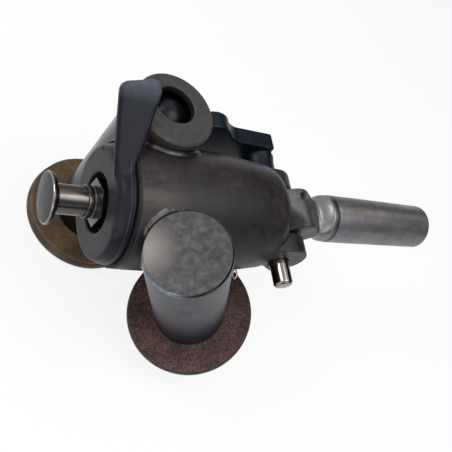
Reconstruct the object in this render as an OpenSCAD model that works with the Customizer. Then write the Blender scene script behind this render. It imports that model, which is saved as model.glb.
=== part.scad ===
// Lever-worked piston bilge pump: a cast barrel carried by two flanged pipes.
// Millimetres, +Z up. The origin is the centre of the rear flange's underside,
// and the barrel lies along +X, towards the lever.

/* [Barrel] */
// Height of the barrel's axis above the rear flange's underside
barrel_height = 126.5; // [120:0.5:150]
// Outer radius of the barrel at its widest
barrel_belly_r = 46.7; // [44:0.1:50]
// How much smaller the radius is at the cap joint
end_drop = 1.5; // [0.5:0.1:2.2]
// How much smaller the radius is where the nose round starts
nose_drop = 4.1; // [3:0.1:5]
// Radius of the round between the barrel's side and its nose
nose_round = 20; // [14:1:24]
// Sideways lean of the casting's outside from its bore, towards the rear ear, in degrees
casting_lean = 1.3; // [0:0.1:1.6]
// Wall of the casting at its widest, outside the liner
barrel_wall = 8.7; // [8:0.1:10]
// Wall of the cylinder liner in the bore
liner_wall = 3; // [2:0.1:4]
// Half width of the slot that the lever works in
slot_half = 21; // [20.5:0.5:23]
// How far each pivot ear's face lies inside the barrel's widest
ear_inset = 9.7; // [8:0.1:13]
// Radius of the rounded end of each ear
ear_r = 23.5; // [20:0.5:25]
// Depth of each ear below the pivot pin
ear_low = 20.5; // [18:0.5:23]
// Radius of the water ports through the barrel wall
port_r = 11; // [8:0.5:13]

/* [Pipes and flanges] */
// Outer radius of both pipes
pipe_r = 30.15; // [29.5:0.05:31]
// Wall thickness of both pipes
pipe_wall = 4; // [3:0.5:5]
// Distance from the barrel's widest to each pipe's axis
pipe_clear = 6.3; // [5.5:0.1:9]
// Distance along the barrel from the rear pipe to where the front pipe crosses
front_x = 21; // [18:1:26]
// Lean of the front pipe towards the cap, in degrees
front_lean = 30; // [20:1:34]
// Length of the front pipe below the barrel's axis, to the flange's underside
front_below = 100.5; // [96:0.5:120]
// Length of the front pipe above the barrel's axis, with its top plate
front_above = 53; // [46:1:60]
// Height of the rear pipe above the barrel's axis, with its port plate
rear_rise = 52; // [51:0.5:60]
// Thickness of the plates that close the pipes
plate_t = 6; // [5:0.5:8]
// Chamfer round the edge of each plate
plate_chamfer = 1.6; // [0.5:0.1:2.5]
// Radius of both flanges
flange_r = 53.6; // [48:0.1:58]
// Thickness of each flange
flange_t = 10; // [8:0.5:14]
// Radius of the rounded edge of each flange
flange_round = 4; // [1:0.5:5]
// Thickness of the friction pad on each flange
pad_t = 3.5; // [2:0.5:6]
// Distance from each flange's edge to its pad
pad_inset = 2.2; // [0.5:0.1:4]

/* [Valves] */
// Radius of the suction ball
suction_ball_r = 15; // [13:0.5:16]
// Radius of the hole in the suction seat
suction_hole_r = 10.5; // [9:0.5:11]
// Extra radius of the hose socket at the foot of the front pipe
inlet_step = 0.35; // [0.1:0.05:1]
// Depth of the hose socket, below the suction seat
suction_depth = 30; // [24:1:32]
// Thickness of the suction seat
suction_seat_t = 8; // [5:0.5:9]
// Lift of the suction ball
suction_lift = 8; // [4:0.5:9]
// Thickness of the bar that stops the suction ball
stop_t = 4; // [3:0.5:5]
// Radius of the discharge ball
discharge_ball_r = 16; // [15.5:0.1:17]
// Radius of the hole in the discharge seat
discharge_hole_r = 10; // [8:0.5:10.5]
// Thickness of the discharge seat
discharge_seat_t = 3; // [2:0.5:4]
// Lift of the discharge ball
discharge_lift = 7; // [4:0.5:8]
// Radius of the discharge port in the rear plate
outlet_r = 15; // [13:0.1:15.4]
// Distance of the discharge port from the pipe's axis, away from the barrel
outlet_shift = 3.4; // [3:0.1:4.5]
// Countersink round the discharge port
outlet_sink = 0.8; // [0.3:0.1:1.2]

/* [Cap] */
// Width of the cap's band, along the barrel
cap_band = 11.3; // [9:0.1:14]
// How much smaller the cap's radius is than the barrel's widest
cap_drop = 3.8; // [3:0.1:4.5]
// How much smaller the radius is at the cap's flat face
cap_bevel = 4.4; // [3:0.1:6]
// Thickness of the gasket between the cap and the barrel
gasket_t = 1.4; // [1:0.1:2.5]
// Radius of the recess in the cap's face
recess_r = 21.3; // [20:0.1:23]
// Depth of the recess in the cap's face
recess_depth = 8.2; // [5:0.1:9]
// Distance across the flats of the gland nut
gland_flats = 30; // [27:0.5:33]
// Height of the gland nut above the recess floor
gland_height = 9.5; // [6:0.1:12]
// Thickness of the paddle
paddle_t = 6.5; // [4:0.1:7]
// Slope of the paddle above the horizontal, in degrees
paddle_slope = 27; // [26:1:32]
// Length of the paddle from the cap's rim to its tip
paddle_len = 57.5; // [50:0.5:60]
// Width of the paddle at its root
paddle_root_w = 14.3; // [12:0.1:16]
// Width of the paddle near its tip
paddle_tip_w = 30; // [26:0.5:34]
// How far the paddle stands out past the cap's face
paddle_overhang = 3.4; // [1:0.1:5]

/* [Piston] */
// Radius of the piston rod
rod_r = 10.4; // [9.5:0.1:11]
// Radius of the knob
knob_r = 17.9; // [15:0.1:20]
// Thickness of the knob
knob_t = 5.2; // [4.5:0.1:12]
// Gap between the knob and the cap at mid stroke
knob_gap = 31; // [20:0.5:36]
// Thickness of the piston
piston_t = 13; // [12:0.5:15]
// Thickness of the piston yoke's blade
blade_t = 12; // [8:0.5:13]

/* [Lever] */
// Swing of the lever each way from level, in degrees
lever_swing = 35; // [25:1:35]
// Radius of the pivot pin
pin_r = 7.8; // [7:0.05:9]
// Radius from the pivot pin to the crank pin
crank_r = 26; // [25:0.5:28]
// Radius of the crank pin
crank_pin_r = 3.5; // [3:0.1:4]
// Radius of the crank roller
roller_r = 5.5; // [5:0.1:6.5]
// Radius of the lever's hub
hub_r = 17; // [16:0.5:20]
// Thickness of each lever cheek
cheek_t = 11.5; // [8:0.5:12]
// Height of the lever tube's axis above the pivot pin
lever_rise = 11.9; // [8:0.1:14]
// Slope of the lever tube, in degrees
lever_tilt = 1.8; // [0:0.1:4]
// Outer radius of the lever tube
socket_r = 20.2; // [19.5:0.1:24]
// Radius of the handle socket in the lever tube
socket_bore_r = 17.4; // [16:0.1:18.4]
// Distance from the pivot pin to the lever tube's open end
lever_reach = 162; // [130:1:200]
// Depth of the handle socket
socket_depth = 88; // [60:1:90]

/* [Pin handle] */
// Length of the pivot pin in front of the front ear
pin_front = 20.7; // [12:0.1:26]
// Radius of the pin handle's hub
handle_hub_r = 15; // [12:0.5:18]
// Length of the hub between the ear and the arm
handle_hub_t = 20.5; // [18:0.5:24]
// Thickness of the arm
handle_arm_t = 15; // [8:0.5:18]
// Distance from the pivot pin to the centre of the arm's end lobe
handle_reach = 58; // [50:1:60]
// Radius of the arm's end lobe
handle_lobe_r = 16.5; // [12:0.5:17]
// Height of the lobe's centre above the pivot pin
handle_lobe_rise = 18; // [10:1:22]

/* [Fits] */
// Radial clearance of a pin or rod that turns or slides in its bush
run_fit = 0.05; // [0.02:0.01:0.09]
// Gap between pieces that are fixed to each other
seat_gap = 0.02; // [0.01:0.01:0.04]
// Gap between pieces that move past each other
free_gap = 0.4; // [0.3:0.05:0.6]

/* [Hidden] */

$fn = 96;
arc_steps = 12;   // straight steps in a quarter round
eps = 0.01;       // overlap that joins solids of one piece
far = 200;        // longer than anything that a cut passes through

// Radii and distances that follow the barrel's widest
barrel_end_r = barrel_belly_r - end_drop;
barrel_nose_r = barrel_belly_r - nose_drop;
barrel_bore_r = barrel_belly_r - barrel_wall;
pipe_offset = barrel_belly_r + pipe_clear;
ear_out = barrel_belly_r - ear_inset;
ear_t = ear_out - slot_half;
cap_r = barrel_belly_r - cap_drop;
cap_face_r = cap_r - cap_bevel;
// Along the barrel, from the cap to the nose
joint_margin = 1;
joint_x = -(pipe_r + joint_margin);
cap_back_x = joint_x - gasket_t - free_gap;
cap_face_x = cap_back_x - cap_band;
spigot_len = 9;
liner_start_x = cap_back_x + spigot_len + free_gap;

// The yoke's slot turns the crank's swing into the piston's stroke at one ratio
swing_rad = lever_swing * PI / 180;
crank_ratio = 0.95385;                            // piston travel per radian, over the crank radius
stroke_half = crank_r * crank_ratio * swing_rad;
slop_end = abs(sin(lever_swing) - crank_ratio * swing_rad);
slop_mid = abs(sin(lever_swing / 2) - crank_ratio * swing_rad / 2);
jaw_half = roller_r + crank_r * max(slop_end, slop_mid) + 0.3;

port_margin = 2.85;
piston_x = front_x + port_r + stroke_half + port_margin;
piston_end_x = piston_x + piston_t;
tail_room = 12.8;
pin_x = piston_end_x + stroke_half + hub_r + tail_room;
nose_x = pin_x - 1;
belly_x = 22;
nose_start_x = nose_x - nose_round + 1;
chamber_x = nose_start_x - 6;
chamber_r = barrel_bore_r - 5;
liner_r = barrel_bore_r - liner_wall;

// Radius of the barrel's side at a place along it: two shallow arcs that meet at the belly
function barrel_r(x) = x < belly_x
  ? barrel_belly_r - (barrel_belly_r - barrel_end_r) * pow((belly_x - x) / (belly_x - joint_x), 2)
  : barrel_belly_r - (barrel_belly_r - barrel_nose_r) * pow((x - belly_x) / (nose_start_x - belly_x), 2);

bush_cover = 2.2;                                 // casting left over each ear bush
bush_end = ear_out - bush_cover;
// The roof over the lever's hub stops where the raised lever's shoulder needs room
roof_z = hub_r + 12.5;
shoulder_r = 12;
shoulder_u = 16;
shoulder_w = hub_r + 0.5;
shoulder_d = norm([shoulder_u, shoulder_w]);
shoulder_a = atan2(shoulder_w, shoulder_u) + lever_swing;
roof_end = sqrt(pow(shoulder_r + 1.5 * free_gap, 2) - pow(roof_z - shoulder_d * sin(shoulder_a), 2))
  - shoulder_d * cos(shoulder_a);

// Valves
bore_r = pipe_r - pipe_wall;
inlet_r = bore_r + inlet_step;
rear_top_z = barrel_height + rear_rise;
rear_plate_z = rear_top_z - plate_t;
discharge_ball_z = rear_plate_z - sqrt(pow(discharge_ball_r, 2) - pow(outlet_r, 2)) - 0.25 - discharge_lift;
discharge_seat_z = discharge_ball_z - sqrt(pow(discharge_ball_r + 0.3, 2) - pow(discharge_hole_r, 2));
suction_seat_s = suction_depth + suction_seat_t;
suction_ball_s = suction_seat_s + sqrt(pow(suction_ball_r + 0.3, 2) - pow(suction_hole_r, 2));
stop_s = suction_ball_s + suction_lift + suction_ball_r + 0.4;
front_len = front_below + front_above;

// Cap and gland
rod_bore_r = rod_r + run_fit;
gland_bore_r = 14;
recess_floor_x = cap_face_x + recess_depth;
boss_r = gland_bore_r + 3.5;
boss_len = 11;
boss_end_x = cap_back_x + boss_len;
packing_len = 5;
bush_len = 8;
bush_start_x = boss_end_x - bush_len;
packing_start_x = bush_start_x - packing_len;
knob_x = cap_face_x - knob_gap;
paddle_root_y = 7.3;
paddle_root_rise = 3.4;

// Lever
cheek_out = slot_half - 2;
cheek_in = cheek_out - cheek_t;
bush_r = pin_r + 2.75;
crank_boss_r = crank_pin_r + 5;
neck_u = 36;
flare_u = 50;
tongue_len = 12;
tongue_t = 10;
tongue_w = 22;

// Rear handle
hub_start = ear_out + free_gap;
arm_start = hub_start + handle_hub_t;
arm_end = arm_start + handle_arm_t;

// Frames
module at_axis(x = 0) translate([x, -pipe_offset, barrel_height]) children();
module along_x(x = 0) at_axis(x) rotate([0, 90, 0]) children();
module at_pin() at_axis(pin_x) children();
module front_frame(s = 0)
  translate([front_x, -2 * pipe_offset, barrel_height]) rotate([0, -front_lean, 0])
    translate([0, 0, s - front_below]) children();
module lever_frame(u = 0)
  at_pin() translate([0, 0, lever_rise]) rotate([0, -lever_tilt, 0]) translate([u, 0, 0])
    rotate([0, 90, 0]) children();
// Cylinder across the barrel, between two distances from its axis, on the given side (1 is rear)
module across(r, from, to, side = 1)
  rotate([-90 * side, 0, 0]) translate([0, 0, from]) cylinder(r = r, h = to - from);

module ring(outer, inner, h) difference() {
  cylinder(r = outer, h = h);
  translate([0, 0, -1]) cylinder(r = inner, h = h + 2);
}
// Disc with one rounded and one plain edge, or a chamfer, standing on z = 0
module round_disc(r, h, e) rotate_extrude() polygon(concat(
  [[0, 0]],
  [for (i = [0:arc_steps]) [r - e + e * sin(i * 90 / arc_steps), e - e * cos(i * 90 / arc_steps)]],
  [for (i = [0:arc_steps]) [r - e + e * cos(i * 90 / arc_steps), h - e + e * sin(i * 90 / arc_steps)]],
  [[0, h]]));
module chamfer_disc(r, h, c) rotate_extrude()
  polygon([[0, 0], [r, 0], [r, h - c], [r - c, h], [0, h]]);
// Flat oval with the given half axes
module oval(a, b, steps = 48)
  polygon([for (i = [0:steps - 1]) [a * cos(i * 360 / steps), b * sin(i * 360 / steps)]]);
// Points of an arc about a centre
function arc(c, r, from, to, steps = arc_steps) =
  [for (i = [0:steps]) c + r * [cos(from + (to - from) * i / steps), sin(from + (to - from) * i / steps)]];

// Solid of the barrel's outside, grown by a gap, which the pipes and the paddle are cut to fit
lip_round = 2.6;
module barrel_outside(gap = 0) at_axis(joint_x) rotate([0, 0, casting_lean])
  translate([-joint_x, 0, 0]) rotate([0, 90, 0]) rotate_extrude() polygon(concat(
  [[0, joint_x - gap], [barrel_end_r - lip_round + gap, joint_x - gap]],
  [for (i = [1:6]) [barrel_end_r + gap - lip_round * (1 - sin(i * 15)),
                    joint_x + lip_round * (1 - cos(i * 15)) - gap * cos(i * 15)]],
  [for (i = [1:20]) let (x = joint_x + lip_round + (nose_start_x - joint_x - lip_round) * i / 20)
    [barrel_r(x) + gap, x]],
  [for (i = [1:arc_steps]) [barrel_nose_r - nose_round + (nose_round + gap) * cos(i * 90 / arc_steps),
                            nose_start_x + (nose_x - nose_start_x + gap) * sin(i * 90 / arc_steps)]],
  [[0, nose_x + gap]]));

// Side outline of an ear: round on the lever's side, cut back in a slope below the pin, and
// tied into the casting above it
module ear_outline() {
  polygon([for (i = [-13:30]) [ear_r * cos(i * 6), (i < 0 ? ear_low : ear_r) * sin(i * 6)]]);
  translate([-ear_r, 0]) square([ear_r, 0.7 * ear_r]);
}

module barrel() color("#56534f") difference() {
  union() {
    barrel_outside();
    at_pin() for (y = [-slot_half, ear_out]) translate([0, y, 0]) rotate([90, 0, 0])
      linear_extrude(ear_t) ear_outline();
  }
  along_x(joint_x - 3) cylinder(r = barrel_belly_r + 5, h = 3);
  along_x(joint_x - 1) cylinder(r = barrel_bore_r, h = chamber_x - joint_x + 1);
  along_x(chamber_x - 1) cylinder(r = chamber_r, h = nose_start_x + 5 - chamber_x + 1);
  at_axis(chamber_x) translate([0, -slot_half, -far]) cube([far, 2 * slot_half, far + roof_z]);
  at_axis(pin_x - roof_end) translate([0, -slot_half, 0]) cube([far, 2 * slot_half, far]);
  at_pin() for (side = [-1, 1]) {
    across(bush_r + seat_gap, slot_half - 1, bush_end, side);
    across(pin_r + free_gap, bush_end - 1, far, side);
  }
  at_pin() across(ear_r + 0.5, ear_out, far, 1);
  at_axis(front_x) across(port_r, barrel_bore_r - 5, far, -1);
  at_axis(0) across(port_r, barrel_bore_r - 5, far, 1);
}

module cylinder_liner() color("#b39a5e") difference() {
  along_x(liner_start_x) ring(barrel_bore_r - 2 * seat_gap, liner_r, chamber_x - 1 - liner_start_x);
  at_axis(front_x) across(port_r, liner_r / 2, far, -1);
  at_axis(0) across(port_r, liner_r / 2, far, 1);
}

module cap_gasket() color("#141414")
  along_x(joint_x - gasket_t) ring(barrel_end_r - lip_round, barrel_bore_r, gasket_t - seat_gap);

module ear_bush(side) at_pin() difference() {
  across(bush_r, slot_half, bush_end - seat_gap, side);
  across(pin_r + run_fit, slot_half - 1, bush_end + 1, side);
}
module ear_bush_front() color("#a9853e") ear_bush(-1);
module ear_bush_rear() color("#a9853e") ear_bush(1);

module rear_pipe() color("#6d6862") difference() {
  translate([0, 0, flange_t + seat_gap]) ring(pipe_r, bore_r, rear_plate_z - flange_t - 2 * seat_gap);
  barrel_outside(2 * seat_gap);
}

module rear_port_plate() color("#6a6763") difference() {
  translate([0, 0, rear_plate_z]) chamfer_disc(pipe_r, plate_t, plate_chamfer);
  translate([0, outlet_shift, rear_plate_z - 1]) cylinder(r = outlet_r, h = plate_t + 2);
  translate([0, outlet_shift, rear_top_z - outlet_sink])
    cylinder(r1 = outlet_r, r2 = outlet_r + 2 * outlet_sink, h = 2 * outlet_sink);
}

module rear_flange() color("#77756f") round_disc(flange_r, flange_t, flange_round);

module rear_pad() color("#6f4f33") translate([0, 0, flange_t + seat_gap])
  ring(flange_r - pad_inset, pipe_r + seat_gap, pad_t);

module discharge_seat() color("#b39a5e") difference() {
  translate([0, 0, discharge_seat_z - discharge_seat_t])
    cylinder(r = bore_r - seat_gap, h = discharge_seat_t);
  translate([0, outlet_shift, discharge_seat_z - discharge_seat_t - 1])
    cylinder(r = discharge_hole_r, h = discharge_seat_t + 2);
  barrel_outside(2 * seat_gap);
}

module front_pipe() color("#85888a") difference() {
  front_frame() ring(pipe_r, bore_r, front_len - plate_t - seat_gap);
  front_frame(-1) cylinder(r = inlet_r, h = suction_depth + 1);
  barrel_outside(2 * seat_gap);
}

module front_top_plate() color("#7d7c78") difference() {
  front_frame(front_len - plate_t) chamfer_disc(pipe_r, plate_t, plate_chamfer);
  barrel_outside(2 * seat_gap);
}

module front_flange() color("#77756f") front_frame() difference() {
  round_disc(flange_r, flange_t, flange_round);
  translate([0, 0, -1]) cylinder(r = pipe_r + seat_gap, h = flange_t + 2);
}

module front_pad() color("#6b4a3d") front_frame(flange_t + seat_gap)
  ring(flange_r - pad_inset, pipe_r + seat_gap, pad_t);

module suction_seat() color("#b39a5e") front_frame(suction_depth)
  ring(bore_r - seat_gap, suction_hole_r, suction_seat_t);

module suction_stop() color("#b39a5e") difference() {
  front_frame(stop_s) {
    ring(bore_r - 2 * seat_gap, bore_r - 4, stop_t);
    intersection() {
      cylinder(r = bore_r - 2, h = stop_t);
      translate([-far, -4, -1]) cube([2 * far, 8, stop_t + 2]);
    }
  }
  barrel_outside(2 * seat_gap);
}

// Small wire ring that hangs in an eye on the front pipe, under the edge of its top plate
ring_drop = 22;
ring_wire_r = 0.9;
ring_mid_r = 4.2;
eye_r = 2.2;
eye_len = 3.2;
ring_seat = 1.8;         // the ring's plane is this far out from the pipe
module tether_ring() color("#d8d5cf") front_frame(front_len - plate_t - ring_drop)
  rotate([0, 0, -16]) translate([pipe_r + seat_gap, 0, 0]) {
    difference() {
      rotate([0, 90, 0]) cylinder(r = eye_r, h = eye_len);
      translate([ring_seat, 0, 0]) rotate([90, 0, 0])
        cylinder(r = ring_wire_r + seat_gap, h = 4 * eye_r, center = true);
    }
    translate([ring_seat, 0, -ring_mid_r]) rotate([0, 90, 0]) rotate_extrude()
      translate([ring_mid_r, 0]) circle(r = ring_wire_r, $fn = 24);
  }

// Outline of the paddle, flat: a nearly straight left edge, a flared right edge and a slanted tip
tip_round = 7;
paddle_drift = 0.8;      // the left edge leans out by this much at the tip
tip_slant = 4.5;         // the tip's left corner is this much short of its right one
function paddle_right(t) = paddle_root_w - paddle_overhang + (paddle_tip_w - paddle_root_w) * pow(t, 0.78);
module paddle_outline() let (
    tip_left = -paddle_overhang - paddle_drift,
    tip_right = tip_left + paddle_tip_w,
    side_end = paddle_len - tip_round)
  polygon(concat(
    [[-paddle_overhang, -9], [paddle_root_w - paddle_overhang, -9]],
    [for (i = [0:8]) [paddle_right(i / 8) - paddle_drift * i / 8, side_end * i / 8]],
    arc([tip_right - tip_round, side_end + 1], tip_round - 1, 5, 85, 8),
    arc([tip_left + tip_round, side_end - tip_slant], tip_round, 97, 175, 8)));

module paddle() at_axis(cap_face_x)
  translate([0, paddle_root_y, sqrt(pow(cap_r - 1, 2) - pow(paddle_root_y, 2)) + paddle_root_rise])
    rotate([paddle_slope, 0, 0]) translate([0, 0, -paddle_t]) linear_extrude(paddle_t) paddle_outline();

module end_cap() color("#5f5e60") difference() {
  union() {
    along_x() rotate_extrude() polygon([
      [0, cap_face_x], [cap_face_r, cap_face_x], [cap_face_r + 1.5, cap_face_x + 1.2],
      [cap_r - 0.6, cap_face_x + 0.62 * cap_band], [cap_r, cap_back_x],
      [barrel_bore_r - free_gap, cap_back_x], [barrel_bore_r - free_gap, cap_back_x + spigot_len],
      [barrel_bore_r - 5, cap_back_x + spigot_len], [barrel_bore_r - 5, cap_back_x - 1],
      [boss_r, cap_back_x - 1], [boss_r, boss_end_x], [0, boss_end_x]]);
    difference() {
      paddle();
      along_x(cap_back_x - 0.01) cylinder(r = barrel_end_r + 1.4, h = far);
      along_x(cap_face_x + 1) cylinder(r = barrel_bore_r - 2, h = far);
    }
  }
  along_x(cap_face_x - 1) cylinder(r = recess_r, h = recess_depth + 1);
  along_x(recess_floor_x - 1) cylinder(r = gland_bore_r, h = far);
}

module gland_nut() color("#b9b4a8") difference() {
  union() {
    along_x(recess_floor_x - seat_gap - gland_height)
      cylinder(r = gland_flats / 2 / cos(30), h = gland_height, $fn = 6);
    along_x(recess_floor_x - 2 * seat_gap)
      cylinder(r = gland_bore_r - seat_gap, h = packing_start_x - recess_floor_x + seat_gap);
  }
  along_x(cap_face_x - far / 2) cylinder(r = rod_r + free_gap, h = far);
}

module gland_packing() color("#161616")
  along_x(packing_start_x) ring(gland_bore_r - seat_gap, rod_bore_r, packing_len - seat_gap);

module rod_bush() color("#a9853e")
  along_x(bush_start_x) ring(gland_bore_r - seat_gap, rod_bore_r, bush_len);

rod_thread_r = 6;
nut_t = 7;
nut_flats = 19;
module piston_rod() color("#c9c7c3") {
  along_x(knob_x + seat_gap) cylinder(r = rod_r, h = piston_x - knob_x - 2 * seat_gap);
  along_x(piston_x - 1) cylinder(r = rod_thread_r, h = piston_t);
}

module knob() color("#b5b3af") along_x(knob_x - knob_t) rotate_extrude() polygon([
  [0, 0], [knob_r - 2, 0.4], [knob_r, 1.8], [knob_r, knob_t - 2.4], [knob_r - 1.2, knob_t - 1.2],
  [rod_r + 1, knob_t], [0, knob_t]]);

cup_t = 3;
cup_depth = 3;
piston_fit_r = liner_r - run_fit;
module piston() color("#a58d55") difference() {
  along_x(piston_x) cylinder(r = piston_fit_r, h = piston_t);
  for (x = [piston_x + 1.8, piston_end_x - 1.8 - cup_t])
    along_x(x) ring(piston_fit_r + 1, piston_fit_r - cup_depth, cup_t);
  along_x(piston_x - 1) cylinder(r = rod_thread_r + seat_gap, h = piston_t + 2);
  along_x(piston_end_x - nut_t - 0.5) cylinder(r = nut_flats / 2 / cos(30) + 1.5, h = far);
  at_axis(piston_end_x) for (y = [-1, 1]) translate([0, y * screw_y, yoke_mid_z]) rotate([0, 90, 0])
    translate([0, 0, -screw_len]) cylinder(r = screw_r + seat_gap, h = far);
}

module piston_cup(x) along_x(x + seat_gap)
  ring(piston_fit_r, piston_fit_r - cup_depth + seat_gap, cup_t - 2 * seat_gap);
module piston_cup_front() color("#1b1b1b") piston_cup(piston_x + 1.8);
module piston_cup_rear() color("#1b1b1b") piston_cup(piston_end_x - 1.8 - cup_t);

module piston_nut() color("#c0beb8") along_x(piston_end_x - nut_t - 0.5 + seat_gap) difference() {
  cylinder(r = nut_flats / 2 / cos(30), h = nut_t, $fn = 6);
  translate([0, 0, -1]) cylinder(r = rod_thread_r + seat_gap, h = nut_t + 2);
}

// The yoke: a foot on the piston's face, a blade between the lever's cheeks, and a jaw round the roller
jaw_wall = 7.5;
yoke_top = -(pin_r + 2.75);
yoke_bottom = -(crank_r + 5.2);
yoke_mid_z = (yoke_top + yoke_bottom) / 2;
foot_t = 4;
foot_half = 13;
screw_y = foot_half - 4;
screw_r = 2;
screw_head_r = 2.8;
screw_len = 7;
jaw_top = -crank_r * cos(lever_swing) + roller_r + 0.5;
yoke_end_x = pin_x + jaw_half + jaw_wall;
module piston_yoke() color("#8d8b87") difference() {
  union() {
    at_axis(piston_end_x + seat_gap) translate([0, -foot_half, yoke_bottom])
      cube([foot_t, 2 * foot_half, yoke_top - yoke_bottom]);
    at_axis(piston_end_x + foot_t - eps) translate([0, -blade_t / 2, yoke_bottom])
      cube([yoke_end_x - piston_end_x - foot_t, blade_t, yoke_top - yoke_bottom]);
  }
  at_pin() translate([-jaw_half, -far / 2, yoke_bottom - 1])
    cube([2 * jaw_half, far, jaw_top - yoke_bottom + 1]);
  at_axis(piston_end_x) for (y = [-1, 1]) translate([-1, y * screw_y, yoke_mid_z]) rotate([0, 90, 0])
    cylinder(r = screw_r + seat_gap, h = foot_t + 4);
}

module yoke_screws() color("#b8b6b0") at_axis(piston_end_x + foot_t + 2 * seat_gap)
  for (y = [-1, 1]) translate([0, y * screw_y, yoke_mid_z]) rotate([0, 90, 0]) {
    translate([0, 0, -foot_t - screw_len + 1]) cylinder(r = screw_r, h = foot_t + screw_len);
    cylinder(r = screw_head_r, h = 1.5);
  }

// Flat tongue of the fork inside the lever tube
module tongue(len, gap = 0)
  translate([-tongue_t / 2 - gap, -tongue_w / 2 - gap, 0])
    cube([tongue_t + 2 * gap, tongue_w + 2 * gap, len]);

// The fork: a hub between the ears, with a raised shoulder towards the neck and a crank below
module lever_fork() color("#77797a") difference() {
  union() {
    hull() {
      at_pin() rotate([90, 0, 0]) cylinder(r = hub_r, h = 2 * cheek_out, center = true, $fn = 72);
      at_pin() translate([shoulder_u, 0, shoulder_w]) rotate([90, 0, 0])
        cylinder(r = shoulder_r, h = 2 * cheek_out - 4, center = true, $fn = 48);
      lever_frame(neck_u - 1) linear_extrude(1) oval(0.5 * (cheek_out - 1), cheek_out - 1.5);
    }
    at_pin() for (side = [-1, 1]) {
      translate([0, 0, -crank_r]) across(crank_boss_r, cheek_in, cheek_out, side);
      translate([-crank_boss_r, side > 0 ? cheek_in : -cheek_out, -crank_r])
        cube([2 * crank_boss_r, cheek_t, crank_r]);
    }
    lever_frame(neck_u - 2) tongue(tongue_len + 2);
  }
  at_pin() translate([-far, -cheek_in, -far]) cube([far + hub_r + 2, 2 * cheek_in, far + bush_r + 2]);
  at_pin() rotate([90, 0, 0]) cylinder(r = bush_r + seat_gap, h = far, center = true);
  at_pin() translate([0, 0, -crank_r]) rotate([90, 0, 0])
    cylinder(r = crank_pin_r + seat_gap, h = far, center = true);
  screw_frame() translate([0, 0, -screw_depth]) cylinder(r = lever_screw_r + seat_gap, h = far);
}

module lever_bush(side) at_pin() difference() {
  across(bush_r, cheek_in, cheek_out, side);
  across(pin_r + run_fit, cheek_in - 1, cheek_out + 1, side);
}
module lever_bush_front() color("#a9853e") lever_bush(-1);
module lever_bush_rear() color("#a9853e") lever_bush(1);

module crank_pin() color("#c9c7c3") at_pin() translate([0, 0, -crank_r]) rotate([90, 0, 0])
  cylinder(r = crank_pin_r, h = 2 * cheek_out, center = true);

module crank_roller() color("#a9853e") at_pin() translate([0, 0, -crank_r]) rotate([90, 0, 0])
  difference() {
    cylinder(r = roller_r, h = 2 * (cheek_in - 0.5), center = true);
    cylinder(r = crank_pin_r + run_fit, h = far, center = true);
  }

// Collar: an oval at the neck that opens to a round shoulder, with a plug inside the lever tube
collar_step = 0.4;       // the shoulder's radius is this much under the tube's
handle_stop = 0.8;       // width of the step inside the tube that stops the pump handle
plug_hole_r = socket_bore_r - handle_stop;
module lever_collar() color("#b9babd") difference() {
  union() {
    hull() {
      lever_frame(neck_u + seat_gap) linear_extrude(3) oval(0.5 * socket_r, 0.9 * socket_r);
      lever_frame(neck_u + 7) linear_extrude(1) oval(0.76 * socket_r, 0.95 * socket_r);
      lever_frame(flare_u - 2) linear_extrude(2 - seat_gap)
        oval(socket_r - collar_step, socket_r - collar_step);
    }
    lever_frame(flare_u - 1)
      cylinder(r = plug_hole_r - seat_gap, h = lever_reach - socket_depth - flare_u + 1);
  }
  lever_frame(neck_u - 2) tongue(tongue_len + 3, seat_gap);
}

// Lever tube: plain pipe with a rounded mouth, which holds the pump handle
mouth_chamfer = 0.7;
module lever_socket() color("#9a9da0") difference() {
  lever_frame(flare_u) rotate_extrude() polygon(concat(
    [[0, 0], [socket_r - 0.5, 0], [socket_r, 0.5]],
    arc([socket_r - 2, lever_reach - flare_u - 2], 2, 0, 90, 6), [[0, lever_reach - flare_u]]));
  lever_frame(flare_u - 1) cylinder(r = plug_hole_r, h = far);
  lever_frame(lever_reach - socket_depth) cylinder(r = socket_bore_r, h = far);
  lever_frame(lever_reach - mouth_chamfer)
    cylinder(r1 = socket_bore_r, r2 = socket_bore_r + 2 * mouth_chamfer, h = 2 * mouth_chamfer);
}

lever_screw_r = 4;
screw_depth = 8;
module screw_frame() at_pin() rotate([0, 33, 0]) translate([0, cheek_out - 9, hub_r + 11.5]) children();
module lever_screw() color("#54565a") screw_frame() difference() {
  translate([0, 0, -screw_depth + seat_gap]) cylinder(r = lever_screw_r, h = screw_depth);
  translate([0, 0, -2.5]) cylinder(r = 2.3, h = 5, $fn = 6);
}

pin_chamfer = 1.8;
module pivot_pin() color("#cfcac2") at_pin() translate([0, -ear_out - pin_front, 0]) rotate([-90, 0, 0])
  rotate_extrude() polygon([[0, 0], [pin_r - pin_chamfer, 0], [pin_r, pin_chamfer],
    [pin_r, ear_out + pin_front + arm_end - 6], [0, ear_out + pin_front + arm_end - 6]]);

// Side outline of the handle's arm: a square end over the pin, a bar, and a raised round lobe
arm_front = 6;
arm_top = 20;
arm_bottom = -13;
bar_back = -36;
module arm_outline() polygon(concat(
  arc([arm_front - 2, arm_top - 2], 2, 90, 0, 4),
  [[arm_front, arm_bottom]],
  arc([-handle_reach, arm_bottom + 6], 6, 270, 200, 6),
  arc([-handle_reach, handle_lobe_rise], handle_lobe_r, 200, 30, 2 * arc_steps),
  [for (i = [1:4]) let (t = i / 5, x0 = -handle_reach + handle_lobe_r * cos(30),
                        z0 = handle_lobe_rise + handle_lobe_r * sin(30))
    [x0 + (bar_back + 6 - x0) * t, z0 + (arm_top - z0) * (1 - pow(1 - t, 2))]],
  [[bar_back + 6, arm_top]]));

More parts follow.
